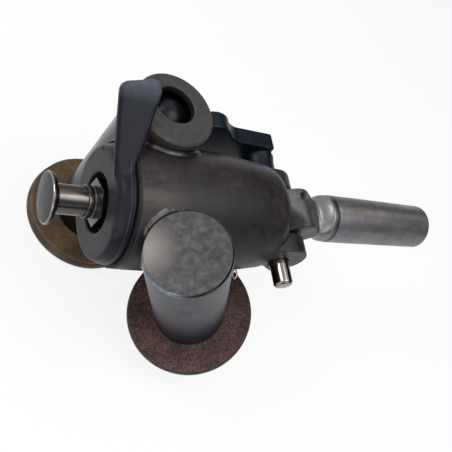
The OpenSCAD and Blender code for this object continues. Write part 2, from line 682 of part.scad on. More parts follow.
// Hub of the handle: a waisted spool between the ear and the arm
hub_waist = 1.2;
module handle_hub() at_pin() rotate([-90, 0, 0]) translate([0, 0, hub_start]) rotate_extrude() polygon(concat(
  [[0, 0]],
  [for (i = [0:8]) [handle_hub_r - hub_waist * sin(i * 22.5), handle_hub_t * i / 8]],
  [[handle_hub_r, handle_hub_t + 0.5], [0, handle_hub_t + 0.5]]));

module pin_handle() color("#1d1e20") difference() {
  union() {
    handle_hub();
    at_pin() translate([0, arm_end, 0]) rotate([90, 0, 0]) linear_extrude(handle_arm_t) arm_outline();
  }
  at_pin() across(pin_r + seat_gap, hub_start - 1, arm_end - 6 + seat_gap, 1);
  at_pin() across(handle_screw_r + 0.5, arm_end - 8, far, 1);
  at_pin() across(handle_head_r + 0.5, arm_end - 3, far, 1);
}

handle_screw_r = 3;
handle_head_r = 5.5;
module handle_screw() color("#b8b6b0") at_pin() difference() {
  union() {
    across(handle_screw_r, arm_end - 6 + 2 * seat_gap, arm_end - 3 + 2 * seat_gap, 1);
    across(handle_head_r, arm_end - 3 + seat_gap, arm_end - 0.3, 1);
  }
  rotate([-90, 0, 0]) translate([0, 0, arm_end - 2.2]) cylinder(r = 2.9, h = 5, $fn = 6);
}

module suction_ball() color("#202020") front_frame(suction_ball_s) sphere(r = suction_ball_r);
module discharge_ball() color("#202020")
  translate([0, outlet_shift, discharge_ball_z]) sphere(r = discharge_ball_r);

barrel();
cylinder_liner();
cap_gasket();
ear_bush_front();
ear_bush_rear();
rear_pipe();
rear_port_plate();
rear_flange();
rear_pad();
discharge_seat();
front_pipe();
front_top_plate();
front_flange();
front_pad();
suction_seat();
suction_stop();
tether_ring();
end_cap();
gland_nut();
gland_packing();
rod_bush();
piston_rod();
knob();
piston();
piston_cup_front();
piston_cup_rear();
piston_nut();
piston_yoke();
yoke_screws();
lever_fork();
lever_bush_front();
lever_bush_rear();
crank_pin();
lever_collar();
lever_socket();
lever_screw();
crank_roller();
pivot_pin();
pin_handle();
handle_screw();
suction_ball();
discharge_ball();
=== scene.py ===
# %% [markdown]
# A lever-worked bilge pump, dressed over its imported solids.
#
# The solids give every size, joint and place. This lesson adds what a solid
# doesn't have: cast skin, welds, rounded edges, turned and drawn metal, and
# moulded plastic. Units are metres in Blender, and the cells work in
# millimetres wherever a size of the pump is written down.

import math

import bmesh
import bpy
import numpy as np
from mathutils import Matrix, Vector


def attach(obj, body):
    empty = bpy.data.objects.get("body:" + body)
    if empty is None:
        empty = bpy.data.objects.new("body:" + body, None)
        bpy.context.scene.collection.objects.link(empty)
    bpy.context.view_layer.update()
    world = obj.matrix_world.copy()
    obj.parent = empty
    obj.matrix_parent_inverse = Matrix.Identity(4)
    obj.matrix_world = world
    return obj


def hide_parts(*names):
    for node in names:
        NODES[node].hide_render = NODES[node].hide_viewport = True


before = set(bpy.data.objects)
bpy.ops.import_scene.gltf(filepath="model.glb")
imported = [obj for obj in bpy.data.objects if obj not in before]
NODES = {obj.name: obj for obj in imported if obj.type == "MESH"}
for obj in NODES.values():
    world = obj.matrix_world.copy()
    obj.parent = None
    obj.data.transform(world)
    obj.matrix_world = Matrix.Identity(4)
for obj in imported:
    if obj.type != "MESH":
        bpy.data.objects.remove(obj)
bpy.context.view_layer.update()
MM = 0.001

# %% [markdown]
# The camera looks down on the pump from the cap's end. Its place and its three
# axes are written out, because it also rolls a little about its view line. The
# frame is square, so one lens value serves for the width and the height.

# %% Camera
CAMERA_MM = (-199.156, -237.499, 473.532)
RIGHT = (0.82631, -0.17025, 0.53687)
UP = (-0.07502, 0.91145, 0.40450)
BACK = (-0.55820, -0.37452, 0.74037)
LENS_MM, SENSOR_MM, NEAR_CLIP_MM = 47.75, 36.0, 10.0

camera_data = bpy.data.cameras.new("camera")
camera_data.sensor_width = camera_data.sensor_height = SENSOR_MM
camera_data.lens = LENS_MM
camera_data.clip_start = NEAR_CLIP_MM * MM
camera = bpy.data.objects.new("camera", camera_data)
turn = Matrix((RIGHT, UP, BACK)).transposed().to_quaternion().to_matrix()
camera.matrix_world = Matrix.Translation(Vector(CAMERA_MM) * MM) @ turn.to_4x4()
bpy.context.scene.collection.objects.link(camera)
bpy.context.scene.camera = camera
bpy.context.scene.view_settings.view_transform = "Standard"
print("camera at", CAMERA_MM)

# %% [markdown]
# The room and every finish are made of nodes. A material could be built by hand
# in the editor, but here one small function adds a node with its options and
# links, so that a finish reads from top to bottom like a recipe. Colours are
# written as sRGB hex and turned to linear in one place.

# %% Nodes and colours
NOISE, RANGE, RAMP = "ShaderNodeTexNoise", "ShaderNodeMapRange", "ShaderNodeValToRGB"
MATH, VECTOR_MATH, MIX = "ShaderNodeMath", "ShaderNodeVectorMath", "ShaderNodeMix"
BUMP, MAPPING, SPLIT = "ShaderNodeBump", "ShaderNodeMapping", "ShaderNodeSeparateXYZ"


def linear(hex_code):
    """sRGB hex to linear RGBA."""
    parts = [int(hex_code[i : i + 2], 16) / 255 for i in (1, 3, 5)]
    return tuple(c / 12.92 if c <= 0.04045 else ((c + 0.055) / 1.055) ** 2.4 for c in parts) + (1.0,)


def fill(tree, node, inputs):
    """Fills or links a node's sockets, by name or number. A node that is given for a
    socket is linked by its first live output."""
    for key, value in inputs.items():
        if isinstance(value, bpy.types.Node):
            value = next(out for out in value.outputs if out.enabled)
        if isinstance(value, bpy.types.NodeSocket):
            tree.links.new(value, node.inputs[key])
        else:
            node.inputs[key].default_value = value


def add_node(tree, kind, inputs=None, stops=(), **settings):
    """Adds a node, sets its options, its sockets, and a ramp's (place, hex) stops."""
    new = tree.nodes.new(kind)
    for key, value in settings.items():
        setattr(new, key, value)
    fill(tree, new, inputs or {})
    stops = list(stops)
    while stops and len(new.color_ramp.elements) < len(stops):
        new.color_ramp.elements.new(0.5)
    for i, (at, colour) in enumerate(stops):
        new.color_ramp.elements[i].position = at
        new.color_ramp.elements[i].color = linear(colour)
    return new


print("white is", linear("#ffffff"))

# %% [markdown]
# A pale room. Two broad lamps and a weak one give the soft light of a workshop
# window and its ceiling. The world is white to the camera and in reflections, and
# darker as a light, so that the dark paint keeps its depth.

# %% World and lamps
WORLD_FILL = 0.42  # strength of the world as a light


def seen_directly(tree):
    """1 for rays from the camera, off gloss or through glass, and 0 for those that only light."""
    path = add_node(tree, "ShaderNodeLightPath").outputs
    seen = add_node(tree, MATH, {0: path["Is Camera Ray"], 1: path["Is Glossy Ray"]}, operation="MAXIMUM")
    return add_node(tree, MATH, {0: seen, 1: path["Is Transmission Ray"]}, operation="MAXIMUM")


world = bpy.data.worlds.new("room")
bpy.context.scene.world = world
world.use_nodes = True
sky = world.node_tree
sky.nodes.clear()
level = add_node(sky, RANGE, {0: seen_directly(sky), 3: WORLD_FILL, 4: 1.0})
glow = add_node(sky, "ShaderNodeBackground", {"Color": linear("#ffffff"), "Strength": level})
add_node(sky, "ShaderNodeOutputWorld", {"Surface": glow})


def lamp(name, place_mm, aim_mm, size_mm, watts):
    """A square area lamp at a place, turned towards a point."""
    data = bpy.data.lights.new(name, "AREA")
    data.shape = "SQUARE"
    data.size = size_mm * MM
    data.energy = watts
    new = bpy.data.objects.new(name, data)
    new.location = Vector(place_mm) * MM
    new.rotation_euler = (Vector(aim_mm) - Vector(place_mm)).to_track_quat("-Z", "Y").to_euler()
    bpy.context.scene.collection.objects.link(new)


lamp("window", (-700, 250, 900), (0, -50, 120), 500, 5.0)
lamp("ceiling", (250, -250, 1100), (40, -50, 120), 700, 5.4)
lamp("fill", (-500, -800, 350), (20, -60, 100), 500, 1.6)

# %% [markdown]
# Every finish starts the same way: a Principled shader and Object coordinates,
# which are in metres, so a pattern whose features are so many millimetres wide
# has a scale of 1000 over that size. Wear and stains are then laid over the
# tone one by one, as a painter would: another colour where a factor lies
# between two limits, or a shade that multiplies what is there.

# %% Start of a finish, and tones laid over it
MIDDLE = {1: 0.3, 2: 0.7}  # the part of a noise's range where most of its values lie


def per_mm(size):
    """Texture scale of a pattern whose features are this many millimetres across."""
    return 1000.0 / size


def new_finish(name):
    """An empty material with Object coordinates, a Principled shader and an output."""
    material = bpy.data.materials.new(name)
    material.use_nodes = True
    tree = material.node_tree
    tree.nodes.clear()
    where = add_node(tree, "ShaderNodeTexCoord").outputs["Object"]
    shader = add_node(tree, "ShaderNodeBsdfPrincipled")
    add_node(tree, "ShaderNodeOutputMaterial", {"Surface": shader})
    return material, tree, where, shader


def lay_tone(tree, tone, factor, limits, shares, colour):
    """Lays a colour over a tone. Its share goes from the first of shares to the second as
    the factor goes from the first of limits to the second."""
    share = add_node(tree, RANGE, {0: factor, 1: limits[0], 2: limits[1], 3: shares[0], 4: shares[1]})
    return add_node(tree, MIX, {0: share, 6: tone, 7: linear(colour)}, data_type="RGBA")


def shade_tone(tree, tone, amount, factor, *stops):
    """Multiplies a tone by a ramp of the factor, by that amount."""
    shades = add_node(tree, RAMP, {0: factor}, stops)
    return add_node(tree, MIX, {0: amount, 6: tone, 7: shades}, data_type="RGBA", blend_type="MULTIPLY")


print("a 1 mm grain has the scale", per_mm(1))

# %% [markdown]
# The cap's enamel changes with the distance from the barrel's axis, and the
# painted sheen on the barrel's top with the distance from a point. Both are worked
# out in the material from Object coordinates, so they stay on the piece when it
# moves. How far the paddle reaches is measured on its solid.

# %% Distances on the pump
BARREL_Y, BARREL_Z = -53.0, 126.5


def from_line(tree, where, y_mm, z_mm):
    """Distance in metres from a line along X at that Y and Z."""
    flat = add_node(tree, MAPPING, {0: where, 1: (0, -y_mm * MM, -z_mm * MM), 3: (0, 1, 1)})
    return add_node(tree, VECTOR_MATH, {0: flat}, operation="LENGTH")


def from_point(tree, where, point_mm):
    """Distance in metres from a point."""
    there = tuple(c * MM for c in point_mm)
    return add_node(tree, VECTOR_MATH, {0: where, 1: there}, operation="DISTANCE")


def vertex_places(mesh):
    """The vertices of a mesh as rows of X, Y and Z, in metres."""
    places = np.zeros(len(mesh.vertices) * 3)
    mesh.vertices.foreach_get("co", places)
    return places.reshape(-1, 3)


cap_places = vertex_places(NODES["end_cap"].data)
PADDLE_TIP_MM = float(np.hypot(cap_places[:, 1] / MM - BARREL_Y, cap_places[:, 2] / MM - BARREL_Z).max())
print("the paddle reaches", round(PADDLE_TIP_MM, 1), "mm from the barrel's axis")

# %% [markdown]
# Sand-cast iron under satin enamel. The sand leaves a skin of grains about a
# millimetre wide, the enamel softens it, and handling has worn it browner and
# smoother in patches the size of a hand's fingers. So three sizes of noise give
# the sand, the dust and the wear. The cap's rim and paddle are painted darker and
# bluer, as painted shade and blue reflection, with a thin painted highlight line
# and a painted highlight band along the paddle's tip. The barrel's top has a
# brushed painted sheen.

# %% Cast and painted metal
OUTER_MM = (33, 44)  # where the cap's outer tone comes in, from the barrel's axis
TIP_HIGHLIGHT_MM = (16, 4)  # start and end of the painted highlight band, back from the paddle's tip
# place, half width and reach of a painted highlight line on the cap's side
HIGHLIGHT_LINE_X_MM, HIGHLIGHT_LINE_HALF_MM, HIGHLIGHT_LINE_REACH_MM = -36.7, 0.3, (45.5, 46.5)


def cast_enamel(name, tones, gloss, grain, shine, outer=None, painted_sheen=None):
    """Enamelled casting in three close tones, dark to light. Away from the barrel's axis an
    outer tone of painted shade and blue reflection takes over, with a painted highlight line
    and a painted highlight band at the paddle's tip, and a brushed painted sheen lies round a point."""
    material, tree, where, shader = new_finish(name)
    patches = add_node(tree, NOISE, {0: where, "Scale": per_mm(42), "Detail": 5, "Roughness": 0.6})
    skin = add_node(tree, NOISE, {0: where, "Scale": per_mm(1.6), "Detail": 3, "Roughness": 0.5})
    dust = add_node(tree, NOISE, {0: where, "Scale": per_mm(7), "Detail": 6, "Roughness": 0.65})
    tone = add_node(tree, RAMP, {0: patches}, zip((0.28, 0.5, 0.74), tones))
    if outer:
        reach = from_line(tree, where, BARREL_Y, BARREL_Z)
        # the outer tone is painted shade and blue reflection on the cap's rim and paddle
        tone = lay_tone(tree, tone, reach, [m * MM for m in OUTER_MM], (0.0, 1.0), outer)
        # a lighter band back from the paddle's tip: a painted highlight
        tip_highlight = [(PADDLE_TIP_MM - m) * MM for m in TIP_HIGHLIGHT_MM]
        tone = lay_tone(tree, tone, reach, tip_highlight, (0.0, 0.8), "#565d6b")
        # a thin lighter line round the cap's side: a painted highlight
        x = add_node(tree, SPLIT, {0: where}).outputs["X"]
        line = add_node(tree, MATH, {0: x, 1: HIGHLIGHT_LINE_X_MM * MM, 2: HIGHLIGHT_LINE_HALF_MM * MM}, operation="COMPARE")
        low, high = (m * MM for m in HIGHLIGHT_LINE_REACH_MM)
        inner = add_node(tree, RANGE, {0: reach, 1: low, 2: high, 3: 1.0, 4: 0.0})
        line = add_node(tree, MATH, {0: line, 1: inner}, operation="MULTIPLY")
        tone = add_node(tree, MIX, {0: line, 6: tone, 7: linear("#363b45")}, data_type="RGBA")
    # a lighter brushed patch round a point: painted sheen on the barrel's top
    if painted_sheen:
        colour, middle_mm, radius_mm = painted_sheen
        away = from_point(tree, where, middle_mm)
        near = add_node(tree, RANGE, {0: away, 1: 0.3 * radius_mm * MM, 2: radius_mm * MM, 3: 1.0, 4: 0.0})
        drawn = add_node(tree, MAPPING, {0: where, 3: (0.35, 1, 1)})
        strokes = add_node(tree, NOISE, {0: drawn, "Scale": per_mm(9), "Detail": 5, "Roughness": 0.65})
        brushed = add_node(tree, RANGE, {0: strokes, 1: 0.36, 2: 0.6, 3: 0.0, 4: 1.0})
        share = add_node(tree, MATH, {0: near, 1: brushed}, operation="MULTIPLY")
        tone = add_node(tree, MIX, {0: share, 6: tone, 7: linear(colour)}, data_type="RGBA")
    waves = add_node(tree, BUMP, {"Height": patches, "Distance": 0.6 * MM, "Strength": 0.12})
    fill(tree, shader, {
        "Base Color": shade_tone(tree, tone, 1.0, dust, (0.38, "#d8d4d2"), (0.6, "#ffffff")),
        "Specular IOR Level": shine,
        "Roughness": add_node(tree, RANGE, {0: dust, **MIDDLE, 3: gloss[0], 4: gloss[1]}),
        "Normal": add_node(tree, BUMP, {"Height": skin, "Distance": 0.12 * MM, "Strength": grain, "Normal": waves}),
    })
    return material


BARREL_SHEEN = ("#46413d", (-22, -66, 171), 27)  # tone, middle and radius of the painted sheen on the barrel's top
CAST = cast_enamel("enamelled_cast_iron", ("#1e1a1e", "#292528", "#383337"), (0.34, 0.5), 0.16, 0.22, painted_sheen=BARREL_SHEEN)
# the cap's last colour is its outer tone: painted shade and blue reflection
CAP = cast_enamel("enamelled_cap_casting", ("#242327", "#2e2d31", "#3a393e"), (0.32, 0.44), 0.08, 0.12, "#131620")
BEAD = cast_enamel("enamelled_weld", ("#2a2627", "#413c3a", "#645d56"), (0.2, 0.32), 0.45, 0.45)
print("cast finishes:", CAST.name, CAP.name, BEAD.name)

# %% [markdown]
# Bare steel comes in many states here. Drawn pipe is satin with faint
# lengthwise lines. Plate that was faced off and has weathered is matt and
# cloudy. Polished bar is nearly a mirror, and the rod has hair-fine turning
# marks and pale and dark bands of painted reflection along it. One recipe serves
# for them all, with the marks and painted light that each one has as options.

# %% Steel in its states
ROD_SIDE, ROD_SIDE_MM = (0, 0.892, 0.452), (-0.5, 20.3)  # the way across the rod that its bands of painted reflection follow
RAGGED_M = 0.03  # how far the clouds shift the edge of a foot stain or of the painted glare spot


def steel(name, tones, clouds_mm, roughness, metallic=1.0, pits=0.0, lines=None, stains=None, foot=None,
          fade=None, streaks=None, painted_glare=None):
    """Bare steel: a cloudy tone with pits. Options are drawn lines (stretch, depth in mm), the
    tone of stains or of a stained foot, a fade of painted light (axis, start, end, tone), bands of
    painted reflection along the rod (ramp stops), and a spot of painted glare (a point in mm)."""
    material, tree, where, shader = new_finish(name)
    clouds = add_node(tree, NOISE, {0: where, "Scale": per_mm(clouds_mm), "Detail": 6, "Roughness": 0.62})
    pores = add_node(tree, NOISE, {0: where, "Scale": per_mm(1.1), "Detail": 4, "Roughness": 0.6})
    tone = add_node(tree, RAMP, {0: clouds}, zip((0.3, 0.5, 0.7), tones))
    rough = add_node(tree, RANGE, {0: clouds, **MIDDLE, 3: roughness[1], 4: roughness[0]})
    normal = add_node(tree, BUMP, {"Height": pores, "Distance": 0.05 * MM, "Strength": 0.05 + pits})
    if lines:
        stretched = add_node(tree, MAPPING, {0: where, 3: lines[0]})
        marks = add_node(tree, NOISE, {0: stretched, "Scale": per_mm(0.8), "Detail": 3, "Roughness": 0.7})
        tone = shade_tone(tree, tone, 0.35, marks, (0.3, "#b0aeac"), (0.7, "#ffffff"))
        normal = add_node(tree, BUMP, {"Height": marks, "Distance": lines[1] * MM, "Strength": 0.5, "Normal": normal})
    if stains:
        blots = add_node(tree, NOISE, {0: where, "Scale": per_mm(clouds_mm * 1.8), "Detail": 5, "Roughness": 0.7})
        tone = lay_tone(tree, tone, blots, (0.52, 0.7), (0.0, 0.8), stains)
    if foot:
        height = add_node(tree, SPLIT, {0: where}).outputs["Z"]
        edge = add_node(tree, MATH, {0: clouds, 1: RAGGED_M, 2: height}, operation="MULTIPLY_ADD")
        tone = lay_tone(tree, tone, edge, (0.03, 0.085), (1.0, 0.0), foot)
    if fade:
        axis, start, end, faded = fade
        along = add_node(tree, VECTOR_MATH, {0: where, 1: axis}, operation="DOT_PRODUCT")
        tone = lay_tone(tree, tone, along, (start, end), (0.0, 0.9), faded)
    # bands across the rod, set by a way across it: painted reflection
    if streaks:
        side = add_node(tree, VECTOR_MATH, {0: where, 1: ROD_SIDE}, operation="DOT_PRODUCT")
        low, high = (m * MM for m in ROD_SIDE_MM)
        across = add_node(tree, RANGE, {0: side, 1: low, 2: high, 3: 0.0, 4: 1.0})
        tone = shade_tone(tree, tone, 0.85, across, *streaks)
    # a lighter, ragged spot round a point: painted glare
    if painted_glare:
        away = from_point(tree, where, painted_glare)
        edge = add_node(tree, MATH, {0: clouds, 1: RAGGED_M, 2: away}, operation="MULTIPLY_ADD")
        tone = lay_tone(tree, tone, edge, (0.018, 0.036), (0.55, 0.0), "#948c86")
    fill(tree, shader, {"Base Color": tone, "Metallic": metallic, "Roughness": rough, "Normal": normal})
    return material


print("the rod's streaks lie", ROD_SIDE_MM, "mm along", ROD_SIDE)

# %% [markdown]
# Now each part's own steel. The two pipes are one kind of tube, but the rear one
# is polished, stained brown at its foot, and carries a painted golden reflection
# near its top. The front plate carries a painted glare at one edge, and its filed
# rim carries a painted highlight that is brightest on that side too.

# %% Pipes, plates and flanges
DRAWN = ((1, 1, 0.04), 0.02)  # lines along Z, by a noise stretched 25 times that way
# a fade is an axis, the start and the end along it in metres, and the tone it goes to
# a golden tone near the rear pipe's top: painted reflection
GOLDEN_REFLECTION_FADE = ((0, 0, 1), 0.158, 0.178, "#9a7450")
# the rim's painted highlight fades dark along the camera's right-hand axis
RIM_HIGHLIGHT_FADE = ((0.826, -0.170, 0.537), 0.0911, 0.1151, "#2e2d2e")

PIPE = steel("drawn_pipe_satin", ("#1f232d", "#272b36", "#32363f"), 30, (0.34, 0.46), 0.8, lines=DRAWN)
# the rear pipe's fade is a painted golden reflection
REAR_PIPE = steel("polished_pipe", ("#3c3d41", "#46484c", "#525458"), 30, (0.2, 0.3), 0.9, lines=DRAWN,
                  foot="#33251b", fade=GOLDEN_REFLECTION_FADE)
# the plate's lighter spot at its left edge is painted glare
PLATE = steel("faced_plate_weathered", ("#2b2b2b", "#3c3b3c", "#4e4d4d"), 5, (0.45, 0.6), 0.5, 0.1,
              painted_glare=(-29.1, -99.8, 158.8))
# bright blue-white tones on the plate's rim: a painted highlight
RIM_HIGHLIGHT = steel("plate_rim_painted_highlight", ("#545b68", "#6d7686", "#8a94a3"), 6, (0.2, 0.32), fade=RIM_HIGHLIGHT_FADE)
PORT = steel("port_plate_weathered", ("#312f2e", "#373533", "#3f3d3b"), 5, (0.5, 0.66), 0.3, 0.2)
STAINED = steel("stained_flange_plate", ("#34291e", "#413425", "#514231"), 14, (0.5, 0.65), 0.3)
FLANGE = steel("flange_plate_satin", ("#2d2a27", "#37332f", "#45403b"), 14, (0.4, 0.55), 0.5, stains="#33291f")
# steel grey turning bluish in the lighter tones: the blue is a painted reflection
WELD = steel("dressed_weld", ("#35322f", "#47474b", "#5c5f67"), 7, (0.22, 0.34), 0.9)
print("pipe and plate finishes:", [m.name for m in (PIPE, REAR_PIPE, PLATE, RIM_HIGHLIGHT, PORT, STAINED, FLANGE, WELD)])

# %% [markdown]
# The rod is stainless bar. Bands of painted reflection run along it and go from
# pale to dark and back across it. The knob's face was turned, and it is painted
# darker than its rim as painted shade. The small parts are nickelled or tinned,
# and the bushes are bronze.

# %% Rod, knob, nut and small parts
TURNED = ((0.05, 1, 1), 0.004)  # fine lines along X
# painted reflection: pale, dark-blue and warm bands across the rod
ROD_REFLECTION_BANDS = (
    (0.0, "#cdc8d2"), (0.24, "#d8d3dc"), (0.38, "#4e5870"), (0.48, "#444d61"),
    (0.6, "#fffdf8"), (0.74, "#f4ece2"), (0.87, "#6f665f"), (1.0, "#4f4741"),
)
BRIGHT = steel("polished_stainless_bar", ("#75716e", "#7e7a77", "#888481"), 25, (0.1, 0.18))
ROD = steel("stainless_rod_painted_reflections", ("#625e5b", "#6c6865", "#787471"), 25, (0.2, 0.3), lines=TURNED,
            streaks=ROD_REFLECTION_BANDS)
# the knob's face is painted darker than its rim: painted shade
KNOB_FACE_SHADE = steel("knob_face_painted_shade", ("#0f0e0e", "#191817", "#272523"), 16, (0.3, 0.42))
# near-black tones for the port's bore: painted shade
BORE_SHADE = steel("bore_painted_shade", ("#101112", "#18191a", "#222324"), 4, (0.5, 0.65), 0.3)
NUT = steel("nickelled_nut", ("#474644", "#55534f", "#66645f"), 12, (0.18, 0.3))
BRONZE = steel("turned_bronze", ("#7d6132", "#94743d", "#a9874a"), 8, (0.28, 0.42))
WIRE = steel("tinned_wire", ("#827d74", "#959087", "#aaa59c"), 4, (0.25, 0.4))
SCREW = steel("oiled_screw_steel", ("#1c1e21", "#26282c", "#34363a"), 4, (0.35, 0.5), 0.9)
print("bar and small-part finishes:", [m.name for m in (BRIGHT, ROD, KNOB_FACE_SHADE, BORE_SHADE, NUT, BRONZE, WIRE, SCREW)])

# %% [markdown]
# Hot-dip galvanised steel has zinc spangle a few millimetres wide, and drips and
# streaks along it. On the lever's tube a pale line wavers along its upper side,
# and on the forged fork a dark patch of painted shade lies on the side of the wire ring.

# %% Galvanised steel
# the Y, the lowest height and the half width of the pale line on the tube
PALE_LINE_Y_MM, PALE_LINE_ABOVE_MM, PALE_LINE_HALF_MM = -53.7, 130, 4.0
SLOT_SHADE_MM, SLOT_SHADE_RAGGED_M = (113, -68, 149), 0.012  # middle of the painted shade patch, and how far its edge wavers


def pale_upper_line(tree, where):
    """1 along a wavering line of constant Y on the upper side, falling to 0 beside it."""
    part = add_node(tree, SPLIT, {0: where}).outputs
    sway = add_node(tree, NOISE, {0: where, "Scale": per_mm(14), "Detail": 4, "Roughness": 0.6})
    waver = add_node(tree, RANGE, {0: sway, **MIDDLE, 3: -0.9 * MM, 4: 0.9 * MM})
    off = add_node(tree, MATH, {0: part["Y"], 1: waver}, operation="ADD")
    off = add_node(tree, MATH, {0: off, 1: -PALE_LINE_Y_MM * MM}, operation="ADD")
    off = add_node(tree, MATH, {0: off}, operation="ABSOLUTE")
    near = add_node(tree, RANGE, {0: off, 1: 0.3 * PALE_LINE_HALF_MM * MM, 2: PALE_LINE_HALF_MM * MM, 3: 1.0, 4: 0.0})
    upper = add_node(tree, MATH, {0: part["Z"], 1: PALE_LINE_ABOVE_MM * MM}, operation="GREATER_THAN")
    gaps = add_node(tree, NOISE, {0: where, "Scale": per_mm(5), "Detail": 4, "Roughness": 0.6})
    broken = add_node(tree, RANGE, {0: gaps, 1: 0.35, 2: 0.5, 3: 0.35, 4: 1.0})
    near = add_node(tree, MATH, {0: near, 1: upper}, operation="MULTIPLY")
    return add_node(tree, MATH, {0: near, 1: broken}, operation="MULTIPLY")


def galvanised(name, tones, streaks, spangle_mm, forged):
    """Zinc coat: spangle cells of slightly different grey, with streaks along X. A forging has
    dark marks and a patch of painted shade as well, and a tube has a pale wavering line along its top."""
    material, tree, where, shader = new_finish(name)
    cells = add_node(tree, "ShaderNodeTexVoronoi", {0: where, "Scale": per_mm(spangle_mm)}, feature="F1")
    grey = add_node(tree, "ShaderNodeSeparateColor", {0: cells.outputs["Color"]})
    cloud = add_node(tree, NOISE, {0: where, "Scale": per_mm(16), "Detail": 6, "Roughness": 0.65})
    blend = add_node(tree, MATH, {0: grey, 1: 0.25, 2: cloud}, operation="MULTIPLY_ADD")
    tone = add_node(tree, RAMP, {0: blend}, zip((0.35, 0.62, 0.9), tones))
    drawn = add_node(tree, MAPPING, {0: where, 3: (0.06, 1, 1)})
    run = add_node(tree, NOISE, {0: drawn, "Scale": per_mm(3), "Detail": 5, "Roughness": 0.6})
    tone = shade_tone(tree, tone, streaks, run, (0.35, "#8e8c8a"), (0.65, "#ffffff"))
    normal = add_node(tree, BUMP, {"Height": grey, "Distance": 0.03 * MM, "Strength": 0.2})
    normal = add_node(tree, BUMP, {"Height": run, "Distance": 0.12 * MM, "Strength": 0.35, "Normal": normal})
    if forged:
        marks = add_node(tree, NOISE, {0: where, "Scale": per_mm(4.5), "Detail": 3, "Roughness": 0.75})
        tone = lay_tone(tree, tone, marks, (0.56, 0.66), (0.0, 0.85), "#3f4146")
        # a dark patch round a point in the slot: painted shade
        away = from_point(tree, where, SLOT_SHADE_MM)
        edge = add_node(tree, MATH, {0: cloud, 1: SLOT_SHADE_RAGGED_M, 2: away}, operation="MULTIPLY_ADD")
        tone = lay_tone(tree, tone, edge, (0.013, 0.02), (0.85, 0.0), "#17181b")
    else:
        # a pale, slightly raised line wavers along the tube's upper side
        pale_line = pale_upper_line(tree, where)
        tone = add_node(tree, MIX, {0: pale_line, 6: tone, 7: linear("#8b857e")}, data_type="RGBA")
        normal = add_node(tree, BUMP, {"Height": pale_line, "Distance": 0.15 * MM, "Strength": 0.4, "Normal": normal})
    rough = add_node(tree, RANGE, {0: cloud, **MIDDLE, 3: 0.52, 4: 0.34})
    fill(tree, shader, {"Base Color": tone, "Metallic": 0.75, "Roughness": rough, "Normal": normal})
    return material


TUBE = galvanised("galvanised_tube", ("#676669", "#727174", "#7f7d7f"), 0.26, 7.0, forged=False)
FORGED = galvanised("galvanised_forging", ("#4b4a4c", "#585759", "#686769"), 0.25, 5.0, forged=True)
print("zinc finishes:", TUBE.name, FORGED.name)

# %% [markdown]
# The pads on the flanges are pressed from cork and rubber crumb, so they show
# grains about a millimetre wide in a few browns, and the rear one also shows
# faint rings of the press tool. The seals are plain black rubber, and the
# handle on the pin is moulded nylon with a fine texture.

# %% Pads, rubber and moulded plastic
def crumb(name, tones, grain_mm, rough, depth_mm, pick_share, rings_mm=None):
    """Pressed crumb: cells of a few browns with rounded grains, and faint rings of the
    press tool round the Z axis where asked."""
    material, tree, where, shader = new_finish(name)
    cells = add_node(tree, "ShaderNodeTexVoronoi", {0: where, "Scale": per_mm(grain_mm), "Randomness": 1.0})
    pick = add_node(tree, "ShaderNodeSeparateColor", {0: cells.outputs["Color"]})
    cloud = add_node(tree, NOISE, {0: where, "Scale": per_mm(22), "Detail": 5, "Roughness": 0.65})
    blend = add_node(tree, MATH, {0: pick, 1: pick_share, 2: cloud}, operation="MULTIPLY_ADD")
    first = 0.35 * (0.5 + pick_share / 0.9)
    tone = add_node(tree, RAMP, {0: blend}, zip((first, first + 0.2, first + 0.38, first + 0.55), tones))
    if rings_mm:
        flat = add_node(tree, MAPPING, {0: where, 3: (1, 1, 0)})
        wave = {0: flat, "Scale": per_mm(rings_mm * 3.14), "Distortion": 1.5, "Detail": 2.0, "Detail Scale": 0.3}
        ring = add_node(tree, "ShaderNodeTexWave", wave, wave_type="RINGS", rings_direction="SPHERICAL")
        tone = shade_tone(tree, tone, 0.14, ring.outputs["Fac"], (0.2, "#bcb2a6"), (0.8, "#ffffff"))
    fine = add_node(tree, NOISE, {0: where, "Scale": per_mm(0.9), "Detail": 3, "Roughness": 0.55})
    fine = add_node(tree, BUMP, {"Height": fine, "Distance": 0.1 * MM, "Strength": 0.3})
    deep = {"Height": cells.outputs["Distance"], "Distance": depth_mm * MM, "Strength": 0.5, "Normal": fine}
    fill(tree, shader, {
        "Base Color": tone,
        "Roughness": rough,
        "Specular IOR Level": 0.3,
        "Normal": add_node(tree, BUMP, deep),
    })
    return material


def moulded(name, colour, lighter, rough, grain_mm, depth_mm, shine):
    """Moulded polymer with a fine etched grain and lighter scuffs."""
    material, tree, where, shader = new_finish(name)
    grain = add_node(tree, NOISE, {0: where, "Scale": per_mm(grain_mm), "Detail": 3, "Roughness": 0.55})
    scuff = add_node(tree, NOISE, {0: where, "Scale": per_mm(18), "Detail": 6, "Roughness": 0.7})
    fill(tree, shader, {
        "Base Color": add_node(tree, RAMP, {0: scuff}, ((0.4, colour), (0.75, lighter))),
        "Specular IOR Level": shine,
        "Roughness": add_node(tree, RANGE, {0: scuff, **MIDDLE, 3: rough + 0.08, 4: rough - 0.05}),
        "Normal": add_node(tree, BUMP, {"Height": grain, "Distance": depth_mm * MM, "Strength": 0.3}),
    })
    return material


RED_BROWNS = ("#2c2023", "#3d2d2e", "#4b3738", "#634b48")
GOLD_BROWNS = ("#36281c", "#493728", "#5b4735", "#755e46")
PAD_FRONT = crumb("red_brown_crumb_pad", RED_BROWNS, 1.1, 0.85, 0.5, 0.45)
PAD_REAR = crumb("golden_brown_crumb_pad", GOLD_BROWNS, 1.1, 0.7, 0.3, 0.15, 3.0)
